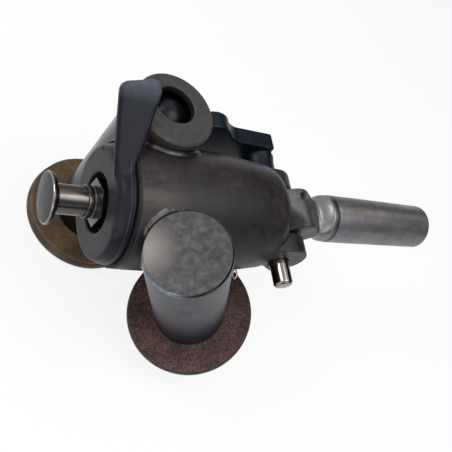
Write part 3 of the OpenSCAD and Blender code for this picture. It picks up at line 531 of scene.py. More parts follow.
# black rubber whose blue tint is a painted blue reflection
RUBBER = moulded("nitrile_rubber", "#02050c", "#060c18", 0.3, 0.8, 0.02, 0.2)
GASKET = moulded("painted_packing", "#151417", "#211f22", 0.5, 1.5, 0.05, 0.2)
# black nylon whose blue tint is a painted blue reflection
HANDLE = moulded("moulded_nylon", "#060a13", "#121b29", 0.38, 0.9, 0.05, 0.18)
print("pads and polymers:", [m.name for m in (PAD_FRONT, PAD_REAR, RUBBER, GASKET, HANDLE)])

# %% [markdown]
# Most of the pump was turned on a lathe, so its surfaces are a profile carried
# round an axis. The profile's sharp corners are rounded first, because a real
# turned edge is broken by a file and catches a thin line of light. First come the
# axes of the barrel, the two pipes and the pin, as frames to work in.

# %% Frames that pieces are made in
FRONT_X, FRONT_LEAN, FRONT_BELOW = 21.0, 30.0, 100.5
PIN_X = 107.949


def frame_at(origin, axis, side):
    """3x3 columns (side, other, axis) and the origin, in millimetres."""
    axis = np.array(axis, float) / np.linalg.norm(axis)
    side = np.array(side, float) - np.dot(side, axis) * axis
    side /= np.linalg.norm(side)
    return np.column_stack([side, np.cross(axis, side), axis]), np.array(origin, float)


ALONG = frame_at((0, BARREL_Y, BARREL_Z), (1, 0, 0), (0, 1, 0))
lean = math.radians(FRONT_LEAN)
FRONT_AXIS = np.array([-math.sin(lean), 0, math.cos(lean)])
FRONT_FOOT = np.array([FRONT_X, 2 * BARREL_Y, BARREL_Z]) - FRONT_BELOW * FRONT_AXIS
FRONT = frame_at(FRONT_FOOT, FRONT_AXIS, (1, 0, 0))
REAR = frame_at((0, 0, 0), (0, 0, 1), (1, 0, 0))
ACROSS = frame_at((PIN_X, BARREL_Y, BARREL_Z), (0, 1, 0), (1, 0, 0))
print("the front pipe's foot is at", FRONT_FOOT.round(1))

# %% [markdown]
# A profile is a closed outline with a radius at each corner, and the turned
# surface is a grid: along the profile one way and round the axis the other way.
# Blender's Spin tool could do it too, but a grid is exact and needs no edit mode.

# %% Turned surfaces
MERGE_M = 1e-7  # points closer than this are one


def rounded(points, radii, steps=5):
    """Rounds each corner of a closed outline: two equal legs joined by a quadratic curve."""
    points = np.array(points, float)
    out = []
    for i, r in enumerate(radii):
        a, p, b = points[i - 1], points[i], points[(i + 1) % len(points)]
        if r <= 0:
            out.append(p[None])
            continue
        la, lb = np.linalg.norm(a - p), np.linalg.norm(b - p)
        leg = min(r, 0.45 * la, 0.45 * lb)
        pa, pb = p + (a - p) * leg / la, p + (b - p) * leg / lb
        t = np.linspace(0, 1, steps)[:, None]
        out.append((1 - t) ** 2 * pa + 2 * t * (1 - t) * p + t**2 * pb)
    return np.vstack(out)


def mesh_piece(name, vertices, faces, smooth_deg=32):
    """A mesh object at the origin from points in millimetres, smooth below an angle."""
    mesh = bpy.data.meshes.new(name)
    mesh.from_pydata((np.asarray(vertices) * MM).tolist(), [], faces)
    bm = bmesh.new()
    bm.from_mesh(mesh)
    bmesh.ops.remove_doubles(bm, verts=bm.verts, dist=MERGE_M)
    bmesh.ops.recalc_face_normals(bm, faces=bm.faces)
    if bm.calc_volume(signed=True) < 0:
        bmesh.ops.reverse_faces(bm, faces=bm.faces)
    bm.to_mesh(mesh)
    bm.free()
    mesh.shade_smooth()
    mesh.set_sharp_from_angle(angle=math.radians(smooth_deg))
    new = bpy.data.objects.new(name, mesh)
    bpy.context.scene.collection.objects.link(new)
    return new


def grid_faces(rows, cols, close_rows=True):
    """Quads of a rows by cols grid of points. Each row closes on itself, and the last row
    joins the first one where asked."""
    row, col = np.meshgrid(np.arange(rows if close_rows else rows - 1), np.arange(cols), indexing="ij")
    row_2, col_2 = (row + 1) % rows, (col + 1) % cols
    quads = np.stack([row * cols + col, row_2 * cols + col, row_2 * cols + col_2, row * cols + col_2], -1)
    return quads.reshape(-1, 4).tolist()


def turned(name, place_in, outline, radii, sides=144, ripple=None):
    """A closed outline of (radius, height), rounded, carried round an axis: each point is at
    radius cos a, radius sin a, height. Where the outline touches the axis its points fall
    together and are merged into one."""
    profile = rounded(outline, radii)
    angle = np.linspace(0, 2 * math.pi, sides, endpoint=False)
    radius, height = (np.outer(profile[:, i], np.ones(sides)) for i in (0, 1))
    if ripple is not None:
        radius = ripple(radius, angle[None, :])
    turn, origin = place_in
    local = np.stack([radius * np.cos(angle), radius * np.sin(angle), height], -1)
    points = local.reshape(-1, 3) @ turn.T + origin
    open_middle = bool(max(profile[0, 0], profile[-1, 0]) > 1e-6)
    return mesh_piece(name, points, grid_faces(len(profile), sides, close_rows=open_middle))


print("a ring of 4 by 6 points has", len(grid_faces(4, 6)), "faces")

# %% [markdown]
# Each piece gets its finish, rides on a body of the frame, and says which solids
# it stands for. Where one piece shows two finishes, its faces are chosen by
# their radius, height and direction in the piece's own frame.

# %% Placing a piece
def place(piece, material, body, slot, *replaced):
    """Gives a piece its finish and its body, and hides the nodes that it stands for. The slot is not used."""
    piece.data.materials.clear()
    piece.data.materials.append(material)
    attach(piece, body)
    if replaced:
        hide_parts(*replaced)
    print(f"{piece.name}: {len(piece.data.polygons)} faces on {body}")


def second(piece, finish, place_in, choose):
    """Gives another finish to the faces that choose picks by radius, height and normal in a frame."""
    piece.data.materials.append(finish)
    middles, normals = np.zeros(len(piece.data.polygons) * 3), np.zeros(len(piece.data.polygons) * 3)
    piece.data.polygons.foreach_get("center", middles)
    piece.data.polygons.foreach_get("normal", normals)
    turn, origin = place_in
    local = (middles.reshape(-1, 3) / MM - origin) @ turn
    up = (normals.reshape(-1, 3) @ turn)[:, 2]
    chosen = choose(np.hypot(local[:, 0], local[:, 1]), local[:, 2], up)
    piece.data.polygons.foreach_set("material_index", chosen.astype(np.int32))
    print(f"{piece.name}: {chosen.sum()} faces in {finish.name}")


# %% [markdown]
# The knob is a low dome with a rounded rim and a hollow neck, on a rod with a
# broken edge. Their sizes come from the solids. The dome rises by a millimetre
# with the square of its radius. Its face and the band behind its rim are painted
# darker than the bright rim, as painted shade.

# %% Knob and rod
ROD_R, KNOB_R, KNOB_X, KNOB_T, PISTON_X, TAIL_R, TAIL_L = 10.4, 17.9, -75.25, 5.2, 50.0, 6.0, 12
DOME_R, DOME_RISE, FREE = 16.9, 1.0, 0.02
knob_face = KNOB_X - KNOB_T
knob_edge, neck_end = KNOB_X + 2.4, KNOB_X + 0.7
dome = [(0.0, knob_face)]
dome += [(r, knob_face + DOME_RISE * (r / DOME_R) ** 2) for r in np.linspace(2.5, DOME_R, 10)]
rim = [(17.4, knob_face + 1.05), (KNOB_R, knob_face + 1.7), (KNOB_R, KNOB_X - 1.6), (KNOB_R - 1.4, KNOB_X - 0.4)]
neck = [(ROD_R + 2.6, KNOB_X), (ROD_R + 0.7, neck_end), (ROD_R, knob_edge), (0.0, knob_edge)]
knob = turned("knob_turned", ALONG, dome + rim + neck, [0] * 11 + [0.2, 0.4, 0.9, 0.8, 0.8, 0.8, 0, 0])
place(knob, BRIGHT, "piston", "bright_steel", "knob")


def on_face_or_back(r, x, up):
    """The knob's face inside its rim, and the band behind the rim."""
    return ((r < 17.0) & (x < knob_face + 1.5)) | ((x > knob_face + 2.3) & (x < KNOB_X - 1.4))


# the face and the band behind the rim get the darker tone: painted shade
second(knob, KNOB_FACE_SHADE, ALONG, on_face_or_back)
rod = turned(
    "piston_rod_turned",
    ALONG,
    [(0, KNOB_X + FREE), (ROD_R, KNOB_X + FREE), (ROD_R, PISTON_X - FREE)]
    + [(TAIL_R, PISTON_X - FREE), (TAIL_R, PISTON_X + TAIL_L), (0, PISTON_X + TAIL_L)],
    [0, 0.25, 0.6, 0.3, 0.6, 0],
)
place(rod, ROD, "piston", "bright_steel", "piston_rod")

# %% [markdown]
# The flanges are flame-cut discs with their rims dressed round, and each pad is
# a pressed disc whose outer rim is worn a little uneven.

# %% Flanges and pads
FLANGE_R, FLANGE_T, PAD_R, PAD_T, PIPE_R = 53.6, 10.0, 52.0, 3.5, 30.15
RIM_ROUND = 4.4


def worn(radius, angle):
    """The outer rim moves in and out by three waves of 3, 7 and 19 periods a turn, a few tenths
    of a millimetre in all, and by at most 0.12 mm outwards."""
    wave = 0.16 * np.sin(3 * angle + 1) + 0.1 * np.sin(7 * angle) + 0.05 * np.sin(19 * angle + 2)
    return radius + np.where(radius > PIPE_R + 5, np.minimum(wave, 0.12), 0.0)


def flange(name, place_in, inner, inner_round):
    """A disc from the inner radius out, with a dressed rim."""
    outline = [(inner, 0), (FLANGE_R, 0), (FLANGE_R, FLANGE_T), (inner, FLANGE_T)]
    return turned(name, place_in, outline, [inner_round, RIM_ROUND, RIM_ROUND, inner_round])


def pad(name, place_in):
    """A ring on the flange round the pipe, with a worn rim."""
    inner, low, high = PIPE_R + FREE, FLANGE_T + FREE, FLANGE_T + PAD_T
    outline = [(inner, low), (PAD_R, low), (PAD_R, high), (inner, high)]
    return turned(name, place_in, outline, [0, 0.3, 1.2, 0], ripple=worn)


place(flange("front_flange_disc", FRONT, PIPE_R + FREE, 0.3), FLANGE, "housing", "flange_steel", "front_flange")
place(pad("front_pad_disc", FRONT), PAD_FRONT, "housing", "friction_pad", "front_pad")
place(flange("rear_flange_disc", REAR, 0, 0), STAINED, "housing", "flange_steel", "rear_flange")
place(pad("rear_pad_disc", REAR), PAD_REAR, "housing", "friction_pad", "rear_pad")

# %% [markdown]
# The pivot pin is ground bar. Its front end is chamfered and polished, and its
# rear end is hidden in the handle.

# %% Pivot pin
PIN_R, EAR_OUT, PIN_FRONT, PIN_REAR, CHAMFER = 7.8, 37.0, 20.7, 66.9, 1.8
pin_start = -EAR_OUT - PIN_FRONT
pin = turned(
    "pivot_pin_ground",
    ACROSS,
    [(0, pin_start), (PIN_R - CHAMFER, pin_start), (PIN_R, pin_start + CHAMFER), (PIN_R, PIN_REAR), (0, PIN_REAR)],
    [0, 0.9, 0.9, 0.4, 0],
)
place(pin, BRIGHT, "pin", "bright_steel", "pivot_pin")

# %% [markdown]
# Castings and mouldings have no sharp edges at all. A copy of the solid is
# rebuilt on a grid of small voxels and then relaxed, which rounds every edge and
# fills every inside corner by about the same radius, as foundry sand does.

# %% Softened copies
FINE_VOXEL_MM, BARREL_VOXEL_MM = 0.8, 1.2


def relaxed(mesh, chosen, passes):
    """Moves the chosen points halfway to the mean of their neighbours, once a pass."""
    points, ends = vertex_places(mesh), np.zeros(len(mesh.edges) * 2, np.int64)
    mesh.edges.foreach_get("vertices", ends)
    count, ends = len(points), ends.reshape(-1, 2)
    near = np.bincount(ends.ravel(), minlength=count)[:, None]
    weight = 0.5 * chosen(points / MM)[:, None]

    def summed(one, other):
        """For each point, the sum of the points at the other ends of its edges."""
        return np.stack([np.bincount(ends[:, one], points[ends[:, other], k], count) for k in range(3)], -1)

    for _ in range(passes):
        points += weight * ((summed(0, 1) + summed(1, 0)) / near - points)
    mesh.vertices.foreach_set("co", points.ravel())
    mesh.update()


def merged_copy(name, node, flat_deg=None):
    """An object with a node's mesh, its loose triangles merged, and its flat faces made whole
    where an angle is given."""
    bm = bmesh.new()
    bm.from_mesh(NODES[node].data)
    bmesh.ops.remove_doubles(bm, verts=bm.verts, dist=10 * MERGE_M)
    if flat_deg is not None:
        bmesh.ops.dissolve_limit(bm, angle_limit=math.radians(flat_deg), verts=bm.verts, edges=bm.edges)
    mesh = bpy.data.meshes.new(name)
    bm.to_mesh(mesh)
    bm.free()
    new = bpy.data.objects.new(name, mesh)
    bpy.context.scene.collection.objects.link(new)
    return new


def softened(name, node, voxel_mm, passes):
    """A copy of a node, remeshed at a voxel size and smoothed, which rounds its edges."""
    new = merged_copy(name, node)
    remesh = new.modifiers.new("grid", "REMESH")
    remesh.mode = "VOXEL"
    remesh.voxel_size = voxel_mm * MM
    relax = new.modifiers.new("relax", "SMOOTH")
    relax.factor, relax.iterations = 0.5, passes
    bpy.context.view_layer.update()
    done = bpy.data.meshes.new_from_object(new.evaluated_get(bpy.context.evaluated_depsgraph_get()))
    new.modifiers.clear()
    new.data = done
    done.name = name
    done.shade_smooth()
    return new


print("voxels of", FINE_VOXEL_MM, "mm, and", BARREL_VOXEL_MM, "mm for the barrel")

# %% [markdown]
# The barrel's lip meets the cap on a machined face, so its edge has to stay
# sharper than the rest: the first few millimetres are squeezed back towards the
# joint. The cap's paddle is thin and rounder, so it is relaxed further, and so
# is a band round its root.

# %% Barrel and cap
JOINT_X = -31.15
# from the barrel's axis: the paddle's root and half its band, and where the paddle
# starts; and the X beyond which the joint is left alone
ROOT_REACH, ROOT_BAND, PADDLE_REACH, CLEAR_X = 38, 7.5, 46, -35.0
PADDLE_SHARE, PADDLE_PASSES = 0.3, 56
LIP_SOFT_MM, LIP_SHARP_MM = (0, 2.6, 9.0), (0, 0.7, 9.0)  # distances from the joint, before and after

barrel_casting = softened("barrel_casting", "barrel", BARREL_VOXEL_MM, 6)
skin = vertex_places(barrel_casting.data) / MM
from_joint = skin[:, 0] - JOINT_X
lip = (from_joint > 0) & (from_joint < LIP_SOFT_MM[-1])
skin[lip, 0] = JOINT_X + np.interp(from_joint[lip], LIP_SOFT_MM, LIP_SHARP_MM)
barrel_casting.data.vertices.foreach_set("co", skin.ravel() * MM)
barrel_casting.data.update()
place(barrel_casting, CAST, "housing", "cast_body", "barrel")
cap_casting = softened("end_cap_casting", "end_cap", FINE_VOXEL_MM, 4)


def paddle_share(p):
    """A smaller share on the paddle, and a bell curve of the reach, up to 1, in a band round
    its root that stays clear of the joint."""
    reach = np.hypot(p[:, 1] - BARREL_Y, p[:, 2] - BARREL_Z)
    clear = (p[:, 2] > BARREL_Z + 20) * np.clip((CLEAR_X - p[:, 0]) / 2, 0, 1)
    root = np.exp(-(((reach - ROOT_REACH) / ROOT_BAND) ** 2)) * clear
    return np.maximum(PADDLE_SHARE * np.clip((reach - PADDLE_REACH) / 5, 0, 1), root)


relaxed(cap_casting.data, paddle_share, PADDLE_PASSES)
place(cap_casting, CAP, "cap", "cast_body", "end_cap")

# %% [markdown]
# The lever's fork is a forging and the pin's handle a moulding. Both are softer
# in shape than the cap, so they are smoothed in twice as many passes.

# %% Lever forging and pin handle
fork = softened("lever_forging", "lever_fork", FINE_VOXEL_MM, 8)
place(fork, FORGED, "lever", "galvanised_steel", "lever_fork")
grip = softened("pin_handle_moulding", "pin_handle", FINE_VOXEL_MM, 8)
place(grip, HANDLE, "pin", "black_plastic", "pin_handle")

# %% [markdown]
# Each pipe is welded to the barrel all round the saddle where they meet. To find
# that curve, the barrel's side is written as a formula: its radius falls from
# the belly to each end with the square of the distance.

# %% The barrel's side as a formula
BELLY_X, NOSE_START_X = 22.0, 87.949
BELLY_R, END_R, NOSE_R = 46.7, 45.2, 42.6  # radius at the belly, at the joint and where the nose starts
CASTING_LEAN = math.radians(1.3)  # the casting's own axis leans a little from the rod's


def barrel_frame(points):
    """Points in the leaning casting's own frame: along it, and out from its axis."""
    p = points - np.array([JOINT_X, BARREL_Y, BARREL_Z])
    c, s = math.cos(CASTING_LEAN), math.sin(CASTING_LEAN)
    along = p[..., 0] * c + p[..., 1] * s + JOINT_X
    side = -p[..., 0] * s + p[..., 1] * c
    return along, side, p[..., 2]


def barrel_gap(points):
    """Distance outside the casting's side, negative within it."""
    along, side, up = barrel_frame(points)
    start = np.where(along < BELLY_X, JOINT_X, NOSE_START_X)
    edge = np.where(along < BELLY_X, END_R, NOSE_R)
    radius = BELLY_R - (BELLY_R - edge) * ((along - BELLY_X) / (start - BELLY_X)) ** 2
    return np.hypot(side, up) - radius


def barrel_normal(points, step=0.05):
    """Outward direction of the casting's side, from small steps along each axis."""
    steps = np.eye(3) * step
    slope = np.stack([barrel_gap(points + d) - barrel_gap(points - d) for d in steps], -1)
    return slope / np.linalg.norm(slope, axis=-1, keepdims=True)


print("the belly is", BELLY_R - END_R, "mm fuller than the joint")

# %% [markdown]
# The saddle curve is found in the pipe's own angle and height, by halving steps
# along rays from its middle. The bead is then a grid: along the curve one way,
# and across a curved arc from the pipe's side to the barrel's side the other
# way. The front weld is full and painted over, and the welder finished it with a
# heap on its upper side. The rear one was dressed hollow with a file.

# %% Weld beads
SINK_MM, ROOT_MM = 0.08, 1.2  # how far the bead's edges and its root lie inside the metal
RAY_ANGLE, RAY_MM = 1.35, 62.0  # how far the rays reach round the pipe and along it


def weld(name, pipe, middle_angle, middle_height, leg_mm, top_height, heap, ripple, fullness, rows=480, arc=9):
    """Bead round the saddle of a pipe and the barrel: a quadratic curve across, between an edge
    on the pipe and one on the barrel. Its legs are leg_mm long, plus the heap (angle, width,
    height) on the upper side, and never reach above the pipe's plate. Ripple is the share that
    the legs waver by, and fullness runs from 0 for a hollow bead to 1 for a full one."""
    turn, origin = pipe
    t = np.linspace(0, 2 * math.pi, rows, endpoint=False)
    ray = np.stack([np.cos(t) * RAY_ANGLE, np.sin(t) * RAY_MM], -1)

    def on_pipe(k):
        """Points of the pipe's side at share k of each ray, and its outward direction there."""
        angle, height = middle_angle + ray[:, 0] * k, middle_height + ray[:, 1] * k
        out = np.stack([np.cos(angle), np.sin(angle), 0 * angle], -1)
        return (PIPE_R * out + np.stack([0 * angle, 0 * angle, height], -1)) @ turn.T + origin, out @ turn.T

    low, high = np.zeros(rows), np.ones(rows)
    for _ in range(30):
        mid = (low + high) / 2
        inside = barrel_gap(on_pipe(mid)[0]) < 0
        low, high = np.where(inside, mid, low), np.where(inside, high, mid)
    point, pipe_out = on_pipe(low)
    barrel_out = barrel_normal(point)
    run = np.cross(pipe_out, barrel_out)
    run /= np.linalg.norm(run, axis=1, keepdims=True)
    up_pipe, up_barrel = np.cross(run, pipe_out), np.cross(barrel_out, run)
    up_pipe *= np.sign(np.sum(up_pipe * barrel_out, 1))[:, None]
    up_barrel *= np.sign(np.sum(up_barrel * pipe_out, 1))[:, None]
    height, angle = middle_height + ray[:, 1] * low, middle_angle + ray[:, 0] * low
    from_heap = (angle - math.radians(heap[0])) / math.radians(heap[1])
    heaped = heap[2] * np.exp(-(from_heap**2)) * (height > middle_height)
    wave = 1 + ripple * (0.4 * np.sin(55 * t) + np.sin(23 * t + 1) * np.sin(9 * t) + np.sin(5 * t))
    leg = (leg_mm + heaped) * wave
    up_leg = np.clip(np.minimum(leg, top_height - height), 0.3, None)[:, None]
    a = point + up_pipe * up_leg
    local = (a - origin) @ turn
    flat = np.hypot(local[:, 0], local[:, 1])
    local[:, :2] *= ((PIPE_R - SINK_MM) / flat)[:, None]
    a = local @ turn.T + origin
    b = point + up_barrel * leg[:, None]
    b -= barrel_normal(b) * (barrel_gap(b) + SINK_MM)[:, None]
    outwards = (0.35 * leg + 0.3 * heaped)[:, None] * (pipe_out + 0.5 * barrel_out)
    swell = point + fullness * (0.55 * up_leg * barrel_out + outwards)
    s = np.linspace(0, 1, arc)[None, :, None]
    bead = (1 - s) ** 2 * a[:, None] + 2 * s * (1 - s) * swell[:, None] + s**2 * b[:, None]
    root = (point - ROOT_MM * (pipe_out + barrel_out))[:, None]
    grid = np.concatenate([bead, root], axis=1)
    return mesh_piece(name, grid.reshape(-1, 3), grid_faces(rows, arc + 1), 60)


FRONT_TOP, REAR_TOP = 153.5, 191.0
BEADS = {  # finish, then what weld takes after the name
    "front_saddle_weld": (BEAD, FRONT, math.radians(90), FRONT_BELOW, 2.6, FRONT_TOP - 0.7, (120, 24, 2.2), 0.1, 1.0),
    "rear_saddle_weld": (WELD, REAR, math.radians(-90), BARREL_Z, 5.2, REAR_TOP - 6.5, (-90, 60, 0.8), 0.01, 0.15),
}
for name, (finish, *shape) in BEADS.items():
    place(weld(name, *shape), finish, "housing", "pipe_steel")

# %% [markdown]
# The lever's collar is pressed to an oval over the fork's tongue and opens to a
# round mouth against the tube. Its rings are ovals whose half axes ease from
# the press mark to the full radius, and a plug goes on inside the tube. Beside
# the mouth the zinc is painted darker, as a painted dark reflection.

# %% Lever collar
LEVER_RISE, LEVER_TILT, SOCKET_R, SOCKET_BORE, STOP_R = 11.9, math.radians(1.8), 20.2, 17.4, 16.6
# along the lever from the pin: the tube's end, the neck of the collar and its mouth
LEVER_REACH, SOCKET_DEPTH, NECK_U, FLARE_U, COLLAR_R = 162.0, 88.0, 36.0, 50.0, 19.8
tube_axis = np.array([math.cos(LEVER_TILT), 0, math.sin(LEVER_TILT)])
LEVER = frame_at(np.array([PIN_X, BARREL_Y, BARREL_Z + LEVER_RISE]), tube_axis, (0, 0, 1))


def collar(name, sides=128):
    """Rings of ovals: tall and wide half axes ease from the neck to the mouth, by the sine of
    the distance to the power 1.2, then the plug. Each end is closed to its middle point."""
    neck, lip = NECK_U + np.array([-5.0, -3.0, -1.5, 0.0]), FLARE_U - np.array([0.4, 0.1, FREE])
    u = np.concatenate([neck, np.linspace(NECK_U + 1, FLARE_U - 0.8, 22), lip])
    ease = np.clip((u - NECK_U - 1.0) / 8.5, 0, 1)
    grow = np.sin(ease * math.pi / 2) ** 1.2
    sunk = np.zeros(len(u))
    sunk[:4], sunk[-2:] = (3.4, 0.7, 0.1, 0.0), (0.05, 0.15)
    tall = COLLAR_R * (0.5 + 0.5 * grow) - sunk
    wide = COLLAR_R * (0.9 + 0.1 * grow) - sunk * np.where(u < NECK_U, 1.6, 1.0)
    plug_r, plug_end = STOP_R - FREE, LEVER_REACH - SOCKET_DEPTH
    u = np.concatenate([u, [FLARE_U - FREE, plug_end - 0.5, plug_end]])
    tall = np.concatenate([tall, [plug_r, plug_r, plug_r - 0.5]])
    wide = np.concatenate([wide, [plug_r, plug_r, plug_r - 0.5]])
    angle = np.linspace(0, 2 * math.pi, sides, endpoint=False)
    local = np.stack([np.outer(tall, np.cos(angle)), np.outer(wide, np.sin(angle)), np.outer(u, np.ones(sides))], -1)
    turn, origin = LEVER
    points = np.vstack([[0, 0, u[0]], local.reshape(-1, 3), [0, 0, u[-1]]]) @ turn.T + origin
    faces = (np.array(grid_faces(len(u), sides, close_rows=False)) + 1).tolist()
    around, last = np.arange(sides), 1 + (len(u) - 1) * sides
    beside = (around + 1) % sides
    faces += np.stack([0 * around, 1 + around, 1 + beside], -1).tolist()
    faces += np.stack([0 * around + len(points) - 1, last + beside, last + around], -1).tolist()
    return mesh_piece(name, points, faces, 40)


mouth = float(LEVER[1] @ tube_axis) + FLARE_U
# darker towards the mouth: a painted dark reflection
collar_dark_reflection = (tuple(tube_axis), (mouth - 6.5) * MM, (mouth - 1.0) * MM, "#39414b")
BURNISHED = steel("burnished_zinc", ("#68676a", "#777678", "#8a8886"), 12, (0.3, 0.42), 0.9, fade=collar_dark_reflection)
place(collar("lever_collar_burnished"), BURNISHED, "lever", "galvanised_steel", "lever_collar")

# %% [markdown]
# The tube is a plain turned profile with a rounded rim. It narrows by half a
# millimetre towards its end, as a drawn tube does, and a step in its bore stops
# the pump's handle.

# %% Lever tube
tube_start, stop = FLARE_U + FREE, LEVER_REACH - SOCKET_DEPTH
tube = turned(
    "lever_tube",
    LEVER,
    [(STOP_R, tube_start), (SOCKET_R, tube_start), (SOCKET_R, FLARE_U + 30), (SOCKET_R - 0.5, LEVER_REACH)]
    + [(SOCKET_BORE, LEVER_REACH), (SOCKET_BORE, stop), (STOP_R, stop)],
    [0, 0.25, 20, 2.6, 0.6, 0, 0],
    sides=160,
)
place(tube, TUBE, "lever", "galvanised_steel", "lever_socket")

# %% [markdown]
# The rear port plate was machined, so its faces stay flat and only its edges are
# broken. A bevel on a merged copy does that, and the bore is painted dark as
# painted shade.

# %% Rear port plate
EDGE_MM, EDGE_DEG = 0.5, 28


def edged(name, node):
    """A merged copy of a node whose sharp edges are bevelled, then shaded smooth between."""
    new = merged_copy(name, node, flat_deg=0.6)
    bevel = new.modifiers.new("edges", "BEVEL")
    bevel.width = EDGE_MM * MM
    bevel.segments = 3
    bevel.limit_method = "ANGLE"
    bevel.angle_limit = math.radians(EDGE_DEG)
    bevel.harden_normals = True
    new.data.shade_smooth()
    new.data.set_sharp_from_angle(angle=math.radians(EDGE_DEG))
    return new


port = edged("rear_port_plate_faced", "rear_port_plate")
place(port, PORT, "housing", "pipe_steel", "rear_port_plate")
# the bore's faces get the painted shade
second(port, BORE_SHADE, REAR, lambda r, z, up: (np.abs(up) < 0.5) & (r < PIPE_R - 4))

# %% [markdown]
# Three more rings and discs are turned: the front pipe's top plate with its filed
# edge, the packing that is squeezed a little out of the cap's joint, and the
# short grooved sleeve in front of the gland nut.

# %% Top plate, packing and gland sleeve
PLATE_T, FILED_EDGE, FILED_DEPTH = 6.0, 1.5, 2.0
plate_foot, filed = FRONT_TOP - PLATE_T, FRONT_TOP - FILED_DEPTH
plate = turned(
    "front_top_plate_faced",
    FRONT,
    [(0, plate_foot), (PIPE_R, plate_foot), (PIPE_R, filed), (PIPE_R - FILED_EDGE, FRONT_TOP), (0, FRONT_TOP)],
    [0, 0.2, 1.0, 0.7, 0],
    sides=180,
)
place(plate, PLATE, "housing", "pipe_steel", "front_top_plate")
# the rim faces get the painted highlight
second(plate, RIM_HIGHLIGHT, FRONT, lambda r, z, up: (r > PIPE_R - 1.7) & (z > FRONT_TOP - 3.1))

PACK_IN, PACK_OUT, PACK_T, PACK_OVER = 38.1, 44.9, 1.38, 0.5
packing = turned(
    "cap_gasket_pressed",
    ALONG,
    [(PACK_IN, JOINT_X - PACK_T), (PACK_OUT, JOINT_X - PACK_T), (PACK_OUT, JOINT_X + PACK_OVER)]
    + [(43.0, JOINT_X + PACK_OVER), (42.4, JOINT_X - FREE), (PACK_IN, JOINT_X - FREE)],
    [0.1, 0.3, 0.2, 0.1, 0.1, 0.1],
)
place(packing, GASKET, "housing", "black_rubber", "cap_gasket")

SLEEVE_IN, SLEEVE_R, GROOVE_R, SLEEVE_X = ROD_R + 0.15, 11.5, 11.0, (-53.0, -44.5)
groove = [(SLEEVE_R, -49.2), (GROOVE_R, -48.9), (GROOVE_R, -48.4), (SLEEVE_R, -48.1)]
sleeve = turned(
    "gland_sleeve_turned",
    ALONG,
    [(SLEEVE_IN, SLEEVE_X[0]), (SLEEVE_R, SLEEVE_X[0]), *groove, (SLEEVE_R, SLEEVE_X[1]), (SLEEVE_IN, SLEEVE_X[1])],
    [0.3, 0.5, 0.2, 0.2, 0.2, 0.2, 0, 0],
)
place(sleeve, NUT, "cap", "bright_steel")

# %% [markdown]
# A small oval eye of tinned wire stands out from the front pipe. Its surface is a
# small circle carried round an oval, and kept square to it all the way.

# %% Tether eye
def oval_ring(name, place_in, centre, long_mm, short_mm, wire_mm, rows=64, sides=16):
    """A wire carried round an oval whose short axis points out from the pipe: the centre
    line is long sin t one way and short cos t the other, in a plane square to the pipe."""
    turn, origin = place_in
    t = np.linspace(0, 2 * math.pi, rows, endpoint=False)[:, None]
    a = np.linspace(0, 2 * math.pi, sides, endpoint=False)[None, :]
    out = np.array([math.cos(centre[1]), math.sin(centre[1]), 0])
    along = np.array([-math.sin(centre[1]), math.cos(centre[1]), 0])
    middle = out * centre[0] + np.array([0, 0, centre[2]])
    line = middle + short_mm * np.cos(t)[..., None] * out + long_mm * np.sin(t)[..., None] * along
    away = long_mm * np.cos(t)[..., None] * out + short_mm * np.sin(t)[..., None] * along
    away /= np.linalg.norm(away, axis=-1, keepdims=True)
    points = line + wire_mm * (np.cos(a)[..., None] * away + np.sin(a)[..., None] * np.array([0, 0, 1.0]))
    return mesh_piece(name, points.reshape(-1, 3) @ turn.T + origin, grid_faces(rows, sides))


eye = oval_ring("tether_eye_wire", FRONT, (31.8, math.radians(-17), 122.3), 3.2, 1.4, 0.55)
place(eye, WIRE, "housing", "bright_steel", "tether_ring")

# %% [markdown]
# The hexagon gland nut was machined as the port plate was, so its edges are
# broken in the same way.

# %% Gland nut
place(edged("gland_nut_machined", "gland_nut"), NUT, "cap", "bright_steel", "gland_nut")

# %% [markdown]
# The rest of the solids keep their own shapes and only need their finish. Most
# of them lie inside: bronze bushes and seats, rubber cups and balls, and bright
# or oiled steel.

# %% Finishes for the carried-over nodes
FINISH = {
    PIPE: ["front_pipe"],
    REAR_PIPE: ["rear_pipe"],
    BRONZE: [
        "cylinder_liner", "ear_bush_front", "ear_bush_rear", "discharge_seat", "suction_seat", "suction_stop",
        "rod_bush", "piston", "lever_bush_front", "lever_bush_rear", "crank_roller",
    ],
    RUBBER: ["gland_packing", "piston_cup_front", "piston_cup_rear", "suction_ball", "discharge_ball"],
    BRIGHT: ["piston_nut", "piston_yoke", "yoke_screws", "crank_pin"],
    SCREW: ["lever_screw", "handle_screw"],
}
for finish, names in FINISH.items():
    for node in names:
        for slot in NODES[node].material_slots:
            slot.material = finish
print("finished nodes:", sum(len(names) for names in FINISH.values()))

# %% [markdown]
# The floor is matt and nearly white, and it glows to the camera and in
# reflections, so that it stays pale while the pump's shadow still falls on it.
# Two dark cards stand outside the view and show only in reflections: they give
# the steel its dark bands, and they take no light from the pump.

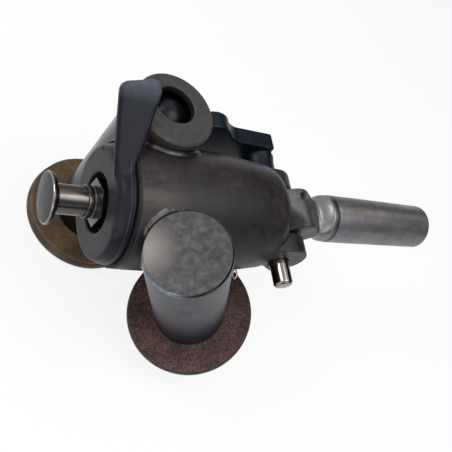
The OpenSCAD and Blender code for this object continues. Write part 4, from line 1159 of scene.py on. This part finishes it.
# %% Floor and cards
FLOOR_Z = -1.0 * MM
FLOOR_REACH = 6.0
FLOOR_WHITE = 0.85  # share of plain white that the camera and reflections see in the floor
CARDS_MM = {  # place, aim, width, height and tone
    "far_card": ((1350, 80, 760), (0, -50, 120), 3600, 1150, "#17181b"),
    "near_card": ((-200, -1500, 300), (0, -50, 120), 1500, 560, "#2b3a50"),
}
CORNERS = ((-1, -1), (1, -1), (1, 1), (-1, 1))


def staged(name, corners, finish):
    """A single four-sided face that isn't part of the pump."""
    mesh = bpy.data.meshes.new(name)
    mesh.from_pydata(corners, [], [(0, 1, 2, 3)])
    mesh.materials.append(finish)
    new = bpy.data.objects.new(name, mesh)
    bpy.context.scene.collection.objects.link(new)
    return new


floor_paint, tree, _, shader = new_finish("white_floor")
fill(tree, shader, {"Base Color": linear("#f6f6f6"), "Roughness": 0.9, "Specular IOR Level": 0.1})
share = add_node(tree, MATH, {0: seen_directly(tree), 1: FLOOR_WHITE}, operation="MULTIPLY")
white = add_node(tree, "ShaderNodeEmission", {"Color": linear("#ffffff"), "Strength": 1.0})
glow = add_node(tree, "ShaderNodeMixShader", {0: share, 1: shader, 2: white})
output = next(n for n in tree.nodes if n.type == "OUTPUT_MATERIAL")
fill(tree, output, {"Surface": glow})
staged("floor", [(x * FLOOR_REACH, y * FLOOR_REACH, FLOOR_Z) for x, y in CORNERS], floor_paint)

for name, (where_mm, aim_mm, wide, tall, colour) in CARDS_MM.items():
    card_paint, tree, _, shader = new_finish(name + "_paint")
    fill(tree, shader, {"Base Color": linear(colour), "Roughness": 0.9, "Specular IOR Level": 0.1})
    turn = (Vector(aim_mm) - Vector(where_mm)).to_track_quat("-Z", "Y").to_matrix()
    corners = [turn @ Vector((x * wide / 2, y * tall / 2, 0)) + Vector(where_mm) for x, y in CORNERS]
    card = staged(name, [tuple(c * MM) for c in corners], card_paint)
    card.visible_camera = card.visible_diffuse = card.visible_shadow = False
print("staged: floor,", ", ".join(CARDS_MM))

# %% [markdown]
# Last, the view layer is brought up to date.

# %% Last update
bpy.context.view_layer.update()
